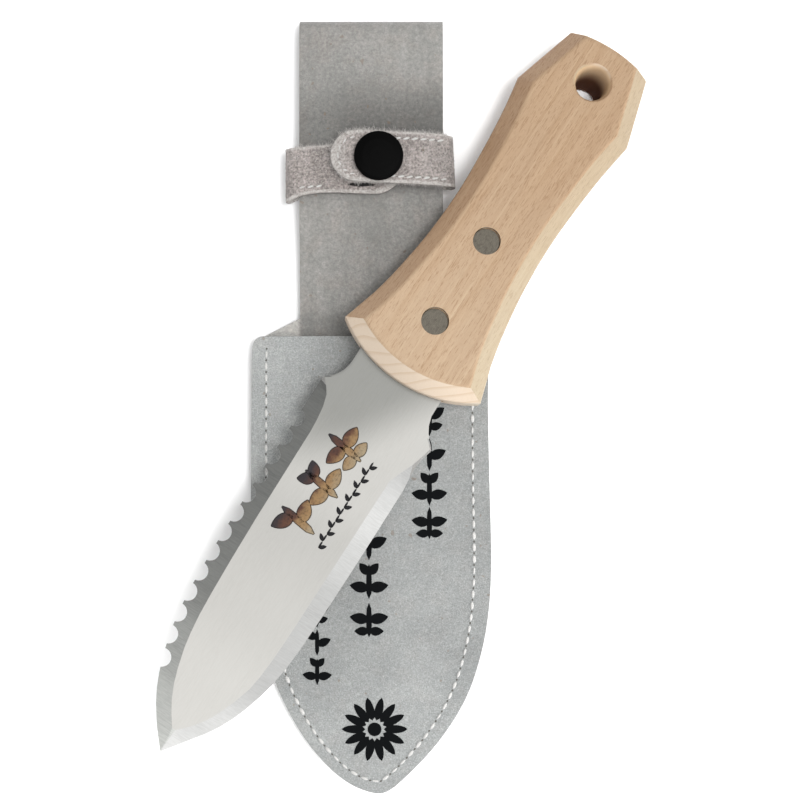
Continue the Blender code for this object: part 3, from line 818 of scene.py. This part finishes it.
def stitch_row(name, path, tree, pitch, sizes, lean, materials, hole, side=1.0):
    """Single stitches along a path on a surface, each between two needle holes, which are flat
    marks painted dark as shade.
    """
    row = Solid()
    places = evenly(path, pitch)
    for i, place in enumerate(places[:-1]):
        centre = place.lerp(places[i + 1], 0.5)
        height, normal = drop(tree, centre.x, centre.y, side)
        if height is None:
            continue
        step = (places[i + 1] - place).normalized()
        jitter = noise.noise(Vector((i * 1.7, pitch, 0.3)))
        angle = lean + 0.12 * jitter
        along = Vector((step.x * math.cos(angle) - step.y * math.sin(angle),
                        step.x * math.sin(angle) + step.y * math.cos(angle), 0.0))
        along = (along - normal * along.dot(normal)).normalized()
        size = (sizes[0] * (1.0 + 0.15 * jitter), sizes[1] * (1.0 + 0.5 * jitter), sizes[2])
        ellipsoid(row, Vector((centre.x, centre.y, height)) + normal * sizes[2] * 0.35, along,
                  normal, size, 0)
        low, tilt = drop(tree, place.x, place.y, side)
        if low is not None:
            ellipsoid(row, Vector((place.x, place.y, low)), along, tilt,
                      (hole, hole * 0.75, 0.06), 1)
    return row.build(name, materials)


# ---------------------------------------------------------------- printed and engraved marks

def blade_shape(length, width, steps=9, power=0.8):
    """Outline of one plain leaf that lies along +X from the origin."""
    upper = []
    for i in range(steps + 1):
        t = i / steps
        half = 0.5 * width * math.sin(math.pi * t ** 0.85) ** power if 0 < i < steps else 0.02
        upper.append(Vector((length * t, half)))
    return upper + [Vector((p.x, -p.y)) for p in reversed(upper)]


def placed(outline, x, y, angle):
    turn = Matrix.Rotation(math.radians(angle), 2)
    return [turn @ p + Vector((x, y)) for p in outline]


def raise_mark(solid, outline, put, thickness, slot=0):
    """Turn a flat outline into a thin closed piece; put gives a point of the surface and its
    normal."""
    placed_points = [put(p) for p in outline]
    points = [place + normal * thickness for place, normal in placed_points]
    points += [place - normal * thickness * 3.0 for place, normal in placed_points]
    count = len(outline)
    faces = quads(count, 0, count)
    for k in range(count // 2 - 1):
        face = (k, k + 1, count - 2 - k, count - 1 - k)
        faces += [face, tuple(count + i for i in reversed(face))]
    solid.add(points, faces, slot)


def sprout(size, kind):
    """A plain seedling: a stem and a few leaves. The kind picks one of four arrangements."""
    stem = placed(blade_shape(size, size * 0.16, 6, 0.25), 0.0, -0.5 * size, 90.0)
    leaf = blade_shape(size * 0.56, size * 0.32)
    small = blade_shape(size * 0.42, size * 0.26)
    plans = (((leaf, 0.05, 35.0), (leaf, 0.05, 145.0), (small, -0.25, 15.0)),
             ((leaf, -0.10, 25.0), (leaf, 0.15, 155.0)),
             ((small, 0.20, 50.0), (small, 0.20, 130.0), (leaf, -0.20, 10.0),
              (leaf, -0.20, 170.0)),
             ((leaf, 0.00, 10.0), (leaf, 0.00, 170.0), (small, -0.32, 0.0), (small, -0.32, 180.0)))
    return [stem] + [placed(outline, 0.0, height * size, angle)
                     for outline, height, angle in plans[kind % 4]]


def print_on_sheath(tree):
    """Columns of seedlings where the sheath is printed, and one daisy near its point."""
    ink = Solid()

    def put(p):
        height, normal = drop(tree, p.x, p.y)
        return Vector((p.x, p.y, height)), normal

    kind = 0
    for x, heights, size in PRINT_COLUMNS:
        for y in heights:
            for outline in sprout(size, kind):
                raise_mark(ink, placed(outline, x, y, 0.0), put, PRINT_THICKNESS)
            kind += 1
    petal = [p + Vector((3.6, 0.0)) for p in blade_shape(9.2, 3.3, 9, 0.6)]
    disc = [Vector(direction) * 2.7 for direction in circle(24)]
    for i in range(PETALS):
        turned = placed(petal, *DAISY, 360.0 * i / PETALS)
        raise_mark(ink, turned, put, PRINT_THICKNESS)
    raise_mark(ink, placed(disc, *DAISY, 0.0), put, PRINT_THICKNESS)
    marks = ink.build("sheath_print", [print_look()], smooth=False)
    stand_for(marks, "sheath", "front_suede")


def grown(outline, amount):
    """The outline moved outwards."""
    moved = []
    for i, point in enumerate(outline):
        step = outline[(i + 1) % len(outline)] - outline[i - 1]
        moved.append(point + Vector((-step.y, step.x)).normalized() * amount)
    return moved


def knife_put(p):
    place = KNIFE @ Vector((p.x, p.y, BLADE_FACE)) / MM
    return place, KNIFE_UP


def mark_blade():
    """A heat-tinted row of leaf sprigs, and a thin black vine beside it."""
    engraving = Solid()
    for i, x in enumerate(SPRIG_X):
        for outline in sprout(SPRIG_SIZE, i + 1):
            outline = placed(outline, x, 3.6, -8.0)
            raise_mark(engraving, grown(outline, BURNT_RIM), knife_put, 0.012, 1)
            raise_mark(engraving, outline, knife_put, 0.022)
    looks = [tinted_engraving("heat_tinted_engraving", 1.0),
             tinted_engraving("burnt_engraving_edge", 0.25)]
    stand_for(engraving.build("leaf_engraving", looks, smooth=False), "knife", "blade_steel")
    vine = Solid()
    for i in range(VINE_LEAVES):
        x = VINE_X + i * VINE_STEP
        angle = 48.0 if i % 2 else -48.0
        raise_mark(vine, placed(blade_shape(3.2, 1.55, 6), x, VINE_Y, angle), knife_put, 0.02)
        stem = placed(blade_shape(3.1, 0.75, 4, 0.2), x - 0.1, VINE_Y, 0.0)
        raise_mark(vine, stem, knife_put, 0.02)
    stand_for(vine.build("black_vine", [black_ink()], smooth=False), "knife", "blade_steel")


# ---------------------------------------------------------------- strap

def smooth_step(value, low, high):
    share = min(max((value - low) / (high - low), 0.0), 1.0)
    return share * share * (3.0 - 2.0 * share)


def round_end(x, centre, direction):
    past = (x - centre) * direction
    if past <= 0.0:
        return STRAP_HALF_WIDTH
    return max(math.sqrt(max(STRAP_HALF_WIDTH ** 2 - past ** 2, 0.0)), 1.6)


def band_rows(profile, line, half_of, dip=(), columns=9):
    """Mid-surface of a strap; its right fold leans in at the top, its lower edge follows dip."""
    rows = []
    for x, z in profile:
        half = half_of(x)
        row = []
        for j in range(columns):
            across = 2.0 * j / (columns - 1) - 1.0
            lean = smooth_step(x, 24.0, 32.0) * (0.9 + 0.5 * across)
            low = value_at(dip, -x, 1) * smooth_step(across, 0.0, -1.0) if dip else 0.0
            row.append((x - lean, line(x) + half * across + low, z))
        rows.append(row)
    return rows


def roughen(obj, amplitude, size):
    """Nap: move each point along its normal by a fine noise."""
    normals = [v.normal.copy() for v in obj.data.vertices]
    for vertex, normal in zip(obj.data.vertices, normals):
        place = vertex.co / (size * MM)
        height = noise.noise(place) + 0.5 * noise.noise(place * 2.1)
        vertex.co += normal * height * amplitude * MM


def mark_rims(mesh, columns):
    """1 along the lower edge and at the end, less along the upper edge and before the end."""
    layer = mesh.attributes.new("rim", "FLOAT", "POINT")
    size = 2 * columns
    last = len(mesh.vertices) // size - 1
    edges = {0: 1.0, columns - 1: 0.7}
    for index, point in enumerate(layer.data):
        row, k = divmod(index, size)
        column = min(k, size - 1 - k)
        point.value = edges.get(column, max(0.9 - 0.13 * (last - row), 0.0))


def make_band(name, rows, looks, nodes, seed):
    obj = sheet(rows, STRAP).build(name, looks)
    mark_rims(obj.data, len(rows[0]))
    soften(obj, 0.45, 3)
    wave(obj, 0.35, 9.0, seed)
    roughen(obj, 0.17, 0.9)
    obj.data.shade_smooth()
    keep_rest_place(obj)
    tree = surface_of(obj)
    stand_for(obj, None, "strap_suede", *nodes)
    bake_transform(obj)
    return tree


def right_line(x):
    return RIGHT_HINGE_Y + RIGHT_SLOPE * (x - HINGE_X)


def left_line(x):
    return LEFT_HINGE_Y + LEFT_SLOPE * (x + HINGE_X)


def fibre(solid, root, direction, length, width, bend):
    """One hair: a tapering three-sided rod with a bend."""
    side = direction.orthogonal().normalized() * width
    other = direction.cross(side)
    points = []
    for share, size in ((0.0, 1.0), (0.5, 0.8), (1.0, 0.25)):
        centre = root + direction * length * share + bend * length * share * share
        points += [centre + (side * c + other * s) * size for c, s in circle(3)]
    solid.add(points, [(0, 1, 2), (6, 7, 8)] + quads(0, 3, 3) + quads(3, 6, 3))


def make_fuzz(name, tree, border, area, body, look, seed):
    """Hairs that stand out along a border path and lie over the area between two corners."""
    rng = random.Random(seed)
    hairs = Solid()
    for a, b in zip(border, border[1:]):
        for _ in range(int((b - a).length * EDGE_HAIRS)):
            place = a.lerp(b, rng.random())
            outward = Vector((b.y - a.y, a.x - b.x)).normalized()
            inner = place - outward * 0.4
            height, normal = drop(tree, inner.x, inner.y)
            if height is None:
                continue
            direction = Vector((outward.x, outward.y, rng.uniform(-0.3, 0.5)))
            direction += Vector((rng.gauss(0.0, 0.5), rng.gauss(0.0, 0.5), 0.0))
            bend = Vector((rng.gauss(0.0, 0.4), rng.gauss(0.0, 0.4), rng.uniform(-0.3, 0.3)))
            length = rng.uniform(0.5, 1.4) * (1.8 if rng.random() < 0.10 else 1.0)
            fibre(hairs, Vector((inner.x, inner.y, height - rng.uniform(0.05, 1.1))),
                  direction.normalized(), length, rng.uniform(0.05, 0.09), bend)
    (x0, y0), (x1, y1) = area
    for _ in range(int(abs((x1 - x0) * (y1 - y0)) * NAP_HAIRS)):
        x, y = rng.uniform(x0, x1), rng.uniform(y0, y1)
        height, normal = drop(tree, x, y)
        if height is None or normal.z < 0.6:
            continue
        angle = rng.uniform(0.0, 2.0 * math.pi)
        direction = Vector((math.cos(angle), math.sin(angle), rng.uniform(0.05, 0.5))).normalized()
        bend = Vector((rng.gauss(0.0, 0.4), rng.gauss(0.0, 0.4), -0.3))
        fibre(hairs, Vector((x, y, height - 0.05)), direction, rng.uniform(0.4, 1.1),
              rng.uniform(0.045, 0.08), bend)
    stand_for(hairs.build(name, [look], smooth=False), body, "strap_suede")


def offset_path(line, offset, places):
    return [Vector((x, line(x) + offset)) for x in places]


def tip_arc(centre_x, line, radius, direction, steps=12):
    """Half circle round an arm's end from its lower to its upper edge."""
    arc = []
    for step in range(steps + 1):
        angle = math.pi * step / steps
        x = centre_x + direction * radius * math.sin(angle)
        arc.append(Vector((x, line(x) - radius * math.cos(angle))))
    return arc


def blotches(look):
    return look.rise(look.noise(0.17, 2.0, 0.6), 0.43, 0.60)


def painted_slit_shadow(look):
    """Painted shadow: the dark gap under the upper arm's end."""
    away = look.times(look.plus(look.axis(0), 3.6), 0.18)
    above = look.plus(look.axis(1), look.times(look.noise(0.8), 0.5))
    above = look.times(look.plus(above, -57.75), 1.3)
    return look.rise(look.plus(look.times(away, away), look.times(above, above)), 1.15, 0.70)


def make_strap(stitch_looks):
    looks = [suede("strap_suede_nap", (0.530, 0.470, 0.442), (0.618, 0.562, 0.534), "band", 0.16,
                   contrast=0.8, coarse=1.15, rim=True,
                   painted_light_and_blotches=((blotches, 0.80), (SHADE_AND_NAP_BESIDE_TIP, 0.80), (painted_slit_shadow, 0.05))),
             cut_edge("strap_cut_edge", (0.760, 0.715, 0.680), "band")]
    hair_look = cut_edge("strap_fibres", (0.860, 0.820, 0.785))
    back = ((0.2, 7.2),) + STRAP_BACK[1:]
    right = make_band("strap_right_band",
                      band_rows(back + RIGHT_ARM, right_line,
                                lambda x: round_end(x, RIGHT_TIP_X, -1.0)),
                      looks,
                      ("strap_right_arm", "strap_back"), 3)
    back = tuple((-x, z) for x, z in STRAP_BACK)
    left = make_band("strap_left_band",
                     band_rows(back + LEFT_ARM, left_line,
                               lambda x: round_end(x, LEFT_TIP_X, 1.0), LEFT_DIP),
                     looks,
                     ("strap_left_arm",), 5)
    inset = STRAP_HALF_WIDTH - 2.5
    straight = (1.25, 0.40, 0.24)
    for name, path, tree, sizes, lean, nodes in (
            ("right_lower", offset_path(right_line, -inset, (29.5, 20.0, 10.0, -1.0)), right,
             straight, 0.25, ("strap_right_thread",)),
            ("right_upper", offset_path(right_line, inset, (-1.0, 10.0, 20.0, 29.5)), right,
             straight, 0.25, ()),
            ("right_tip", tip_arc(RIGHT_TIP_X, right_line, inset, -1.0), right,
             (1.0, 0.30, 0.13), 0.25, ()),
            ("left", offset_path(left_line, 1.6 - inset, (-28.0, -18.0)), left,
             (1.15, 0.36, 0.2), 0.2, ("strap_left_thread",))):
        arm, _, place = name.partition("_")
        row = stitch_row(f"strap_{place or arm}_stitches", path, tree, STRAP_PITCH, sizes, lean,
                         stitch_looks, STRAP_HOLE)
        stand_for(row, "strap_" + arm, "thread", *nodes)
    edge = STRAP_HALF_WIDTH
    border = offset_path(right_line, -edge, (29.0, 20.0, 10.0, 0.0))
    border += tip_arc(RIGHT_TIP_X, right_line, edge, -1.0)
    border += offset_path(right_line, edge, (0.0, 10.0, 20.0, 29.0))
    make_fuzz("strap_right_fibres", right, border[::-1], ((-15.0, 56.0), (29.0, 79.0)),
              "strap_right", hair_look, 11)
    top = offset_path(left_line, edge, (-13.0, -22.0, -29.0))
    make_fuzz("strap_left_fibres", left, top, ((-30.5, 50.0), (-11.0, 76.0)),
              "strap_left", hair_look, 12)


# ---------------------------------------------------------------- knife

def between(points, steps):
    """Catmull-Rom curve through the points."""
    padded = [points[0]] + list(points) + [points[-1]]
    curve = []
    for i in range(len(points) - 1):
        a, b, c, d = (Vector(p) for p in padded[i:i + 4])
        for step in range(steps):
            t = step / steps
            curve.append(0.5 * (2.0 * b + (c - a) * t + (2.0 * a - 5.0 * b + 4.0 * c - d) * t * t
                                + (3.0 * b - a - 3.0 * c + d) * t ** 3))
    return curve + [Vector(points[-1])]


def mitred(points, inset):
    """The inner points of a line, moved to its right by the inset."""
    moved = []
    for before, point, after in zip(points, points[1:], points[2:]):
        first = (point - before).normalized()
        second = (after - point).normalized()
        bisector = Vector((first.y + second.y, -first.x - second.x)).normalized()
        moved.append(point + bisector * inset / bisector.dot(Vector((first.y, -first.x))))
    return moved


def handle_ring(inset, butt_inset):
    """The handle in plan with its chamfered edges and its butt moved inwards."""
    half = FRONT_CORNER[1]
    sagitta = FRONT_CORNER[0] - FRONT_APEX
    radius = (half ** 2 + sagitta ** 2) / (2.0 * sagitta)
    centre = FRONT_APEX + radius
    side = [Vector(FRONT_CORNER)] + between(SIDE, 4) + [Vector(BUTT_CORNER)]
    inner = mitred(side, inset)

    start = (side[1] - side[0]).normalized()
    away = inner[0] - Vector((centre, 0.0))
    along = away.dot(start)
    reach = along + math.sqrt(along ** 2 - away.length_squared + (radius - inset) ** 2)
    corner = inner[0] - start * reach
    turn = math.asin(corner.y / (radius - inset))
    front = [Vector((centre - (radius - inset) * math.cos(turn * (i / 12.0 - 1.0)),
                     (radius - inset) * math.sin(turn * (i / 12.0 - 1.0)))) for i in range(25)]

    apex = BUTT_APEX - butt_inset
    bow = (BUTT_APEX - BUTT_CORNER[0]) / BUTT_CORNER[1] ** 2
    slope = (side[-1].x - side[-2].x) / (side[-1].y - side[-2].y)
    offset = inner[-1].x - slope * inner[-1].y
    end_y = (-slope - math.sqrt(slope ** 2 - 4.0 * bow * (offset - apex))) / (2.0 * bow)
    across = [end_y * (1.0 - i / 10.0) for i in range(21)]
    butt = [Vector((apex - bow * y * y, y)) for y in across]
    return front + inner + butt + [Vector((p.x, -p.y)) for p in reversed(inner)]


def handle_levels():
    """Height, inset of the chamfered edges and inset of the butt, from the face to the middle."""
    turn = SANDED * math.tan(math.radians(22.5))
    rows = []
    for start, base, edge in ((0.0, HALF_THICKNESS - SANDED, CHAMFER + turn),
                              (45.0, HALF_THICKNESS - CHAMFER - turn, SANDED)):
        for step in range(4):
            angle = math.radians(start + 15.0 * step)
            height = base + SANDED * math.cos(angle)
            rise = min(max(height - HALF_THICKNESS + BUTT_ROUND, 0.0), BUTT_ROUND)
            rows.append((height, edge - SANDED * math.sin(angle),
                         BUTT_ROUND - math.sqrt(BUTT_ROUND ** 2 - rise ** 2)))
    return rows


def prism(name, rings):
    """A closed mesh through rings of points; each end is one face."""
    solid = Solid()
    size = len(rings[0])
    last = size * (len(rings) - 1)
    faces = [tuple(range(size)), tuple(range(last, last + size))]
    for low in range(0, last, size):
        faces += quads(low, low + size, size)
    solid.add([Vector(p) for ring in rings for p in ring], faces)
    return solid.build(name, [], smooth=False)


def round_cutter(name, profile, centre, lean=(0.0, 0.0)):
    """A turned shape; lean is how far its axis moves for each unit below the upper face."""
    rings = []
    for radius, height in profile:
        depth = HALF_THICKNESS - height
        x, y = (place + depth * share for place, share in zip(centre, lean))
        rings.append([(x + radius * c, y + radius * s, height) for c, s in circle(64)])
    return prism(name, rings)


def subtract(obj, cutters):
    for cutter in cutters:
        boolean = obj.modifiers.new(cutter.name, "BOOLEAN")
        boolean.operation = "DIFFERENCE"
        boolean.solver = "EXACT"
        boolean.object = cutter
    apply_modifiers(obj)
    for cutter in cutters:
        bpy.data.objects.remove(cutter)


def make_handle():
    rings = [[(p.x, p.y, height) for p in handle_ring(inset, butt_inset)]
             for height, inset, butt_inset in handle_levels()]
    rings += [[(x, y, -z) for x, y, z in ring] for ring in reversed(rings)]
    obj = prism("handle_wood", rings)
    cutters = [round_cutter("hang_hole_cut", HOLE_PROFILE, HOLE_MOUTH, HOLE_LEAN)]
    for place, x in zip(("front", "rear"), RIVET_X):
        for side, sign in (("upper", 1.0), ("lower", -1.0)):
            seat = [(RIVET_RADIUS + RIVET_GAP, sign * height)
                    for height in (RIVET_SEAT, HALF_THICKNESS + 0.5)]
            cutters.append(round_cutter(f"{place}_{side}_seat_cut", seat, (x, RIVET_Y)))
    (start, end), across, w = MORTISE
    slot = [[(start, y, w), (end, y, w), (end, y, -w), (start, y, -w)] for y in across]
    cutters.append(prism("mortise_cut", slot))
    subtract(obj, cutters)
    obj.data.materials.clear()
    obj.data.materials.append(beech())
    obj.data.transform(Matrix.Scale(1.0 / MM, 4))
    obj.data.transform(KNIFE)
    obj.data.shade_smooth()
    obj.data.set_sharp_from_angle(angle=math.radians(32.0))
    obj.modifiers.new("even_shading", "WEIGHTED_NORMAL").keep_sharp = True
    apply_modifiers(obj)
    return stand_for(obj, "knife", "beech", "handle")


def make_blade():
    # One steel in four finishes; their tones are partly painted: the toothed grind painted darker
    # and the plain grind lighter by how the light falls on them, and the stops along the blade are
    # painted reflection
    flat = brushed("satin_steel", (0.780, 0.766, 0.726), (0.864, 0.850, 0.810),
                   (0.22, 1.9, 1.0), 0.36, 1.0,
                   ((0.0, 1.10), (30.0, 1.06), (60.0, 0.965), (95.0, 0.89), (115.0, 0.98),
                    (165.0, 1.0)), painted_neck_shade=True)
    toothed = brushed("toothed_grind_steel", (0.240, 0.245, 0.235), (0.340, 0.345, 0.330),
                      (2.6, 0.12, 1.0), 0.40, 0.8,
                      ((0.0, 3.3), (14.0, 2.85), (34.0, 1.95), (60.0, 1.15), (90.0, 0.95),
                       (150.0, 0.92)))
    plain = brushed("plain_grind_steel", (0.583, 0.583, 0.572), (0.726, 0.726, 0.715),
                    (2.2, 0.10, 1.0), 0.36, 1.0,
                    ((0.0, 1.6), (16.0, 1.40), (40.0, 1.00), (75.0, 0.99), (96.0, 1.16),
                     (110.0, 1.32), (150.0, 0.85)))
    rim = brushed("edge_steel", (0.42, 0.41, 0.39), (0.64, 0.63, 0.61), (2.0, 2.0, 0.3),
                  0.45, 0.7, ((0.0, 1.0), (170.0, 1.0)))
    obj = copy_node("blade", "blade_steel_body", [flat, toothed, plain, rim])
    for polygon in obj.data.polygons:
        polygon.material_index = blade_region(polygon.normal)
    obj.data.shade_smooth()
    obj.data.set_sharp_from_angle(angle=math.radians(5.0))
    return stand_for(obj, "knife", "blade_steel", "blade")


def blade_region(normal):
    """0 flat, 1 toothed grind, 2 plain grind, 3 edges."""
    up = abs(normal.dot(KNIFE_UP))
    if up > 0.996:
        return 0
    if up > 0.90:
        return 1 if normal.dot(KNIFE_ACROSS) > 0.0 else 2
    return 3


def paint(material, *nodes):
    """A CAD node that keeps its mesh only changes its material."""
    for node in nodes:
        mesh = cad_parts[node].data
        mesh.materials.clear()
        mesh.materials.append(material)


# ---------------------------------------------------------------- studio

def area_light(name, place, size, share, glossy=False):
    """A square light aimed at the middle; share is what it adds to the light on a level surface."""
    place = Vector(place)
    data = bpy.data.lights.new(name, "AREA")
    data.size = size
    data.energy = share * STUDIO * math.pi ** 2 * place.length ** 3 / place.z
    light = bpy.data.objects.new(name, data)
    light.location = place
    light.rotation_euler = place.to_track_quat("Z", "Y").to_euler()
    light.visible_glossy = glossy
    bpy.context.scene.collection.objects.link(light)


def make_world():
    """A plain grey room that falls off from one side to the other."""
    world = bpy.data.worlds.new("studio")
    world.use_nodes = True
    tree = world.node_tree
    place = tree.nodes.new("ShaderNodeTexCoord")
    toward = tree.nodes.new("ShaderNodeVectorMath")
    toward.operation = "DOT_PRODUCT"
    toward.inputs[1].default_value = Vector(DARK_SIDE).normalized()
    fall = tree.nodes.new("ShaderNodeMapRange")
    fall.interpolation_type = "SMOOTHSTEP"
    for socket, value in (("From Min", -0.1), ("From Max", 0.95), ("To Min", WORLD_BRIGHT),
                          ("To Max", WORLD_DARK)):
        fall.inputs[socket].default_value = value
    tree.links.new(place.outputs["Generated"], toward.inputs[0])
    tree.links.new(toward.outputs["Value"], fall.inputs["Value"])
    background = tree.nodes["Background"]
    background.inputs["Color"].default_value = (1.0, 1.0, 1.0, 1.0)
    tree.links.new(fall.outputs["Result"], background.inputs["Strength"])
    return world


def make_studio():
    scene = bpy.context.scene
    scene.view_settings.view_transform = "Standard"
    scene.world = make_world()
    area_light("softbox", (0.28, -0.20, 1.5), 1.8, 0.24, glossy=True)
    area_light("key", (0.26, 0.00, 1.08), 0.24, 0.285)
    area_light("side", (0.92, -0.58, 0.28), 0.40, 0.09)
    mesh = bpy.data.meshes.new("floor")
    height = CAD_BOX[0][2] - FLOOR_GAP
    corners = [(x * FLOOR_REACH, y * FLOOR_REACH, height)
               for x, y in ((-1, -1), (1, -1), (1, 1), (-1, 1))]
    mesh.from_pydata(corners, [], [(0, 1, 2, 3)])
    new_object("floor", mesh, [floor_look()])
    camera = bpy.data.cameras.new("camera")
    camera.lens = CAMERA_LENS
    camera.sensor_width = 36.0
    camera.clip_start = 0.01
    made = bpy.data.objects.new("camera", camera)
    made.location = CAMERA_PLACE
    scene.collection.objects.link(made)
    scene.camera = made


# ---------------------------------------------------------------- build

def make_sheath(stitch_looks):
    edge = cut_edge("sheath_cut_edge", (0.480, 0.470, 0.450))
    back_look = suede("strip_suede", (0.446, 0.442, 0.420), (0.450, 0.440, 0.418), nap=0.08,
                      streaks=0.30, contrast=0.20, mottling=0.48, painted_light_and_blotches=STRIP_PAINTED_LIGHT)
    front_look = suede("front_suede", (0.458, 0.474, 0.468), (0.485, 0.500, 0.492),
                       mottling=0.25, painted_light_and_blotches=FRONT_PAINTED_LIGHT)
    back = make_panel("back_panel", "sheath_back", "sheath_suede", [back_look, edge], 1)
    front = make_panel("front_panel", "sheath_front", "front_suede", [front_look, edge], 2)
    make_panel("welt", "sheath_welt", "sheath_suede", [back_look, edge], 4)
    top = surface_of(front)
    under = surface_of(back)
    border = seam_path(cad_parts["front_panel"].data)
    loop = [Vector(p) for p in LOOP_SEAM]
    for name, path, tree, side, nodes in (
            ("seam_stitches", border, top, 1.0, ("seam_thread",)),
            ("seam_stitches_below", border, under, -1.0, ()),
            ("loop_stitches", loop, under, 1.0, ("belt_loop_thread",)),
            ("loop_stitches_below", loop, under, -1.0, ())):
        row = stitch_row(name, path, tree, SEAM_PITCH, SEAM_STITCH, 0.0, stitch_looks, SEAM_HOLE,
                         side)
        stand_for(row, "sheath", "thread", *nodes)
    print_on_sheath(top)


def main():
    stitch_looks = [thread_look(), hole_shade_look()]
    make_sheath(stitch_looks)
    make_strap(stitch_looks)
    make_handle()
    make_blade()
    mark_blade()
    paint(rivet_look(), *(f"{place}_rivet_{part}" for place in ("front", "rear")
                          for part in ("tube", "pin")))
    paint(plated(), "snap_socket", "snap_stud", "snap_post")
    paint(enamel(), "snap_cap")
    make_studio()


main()
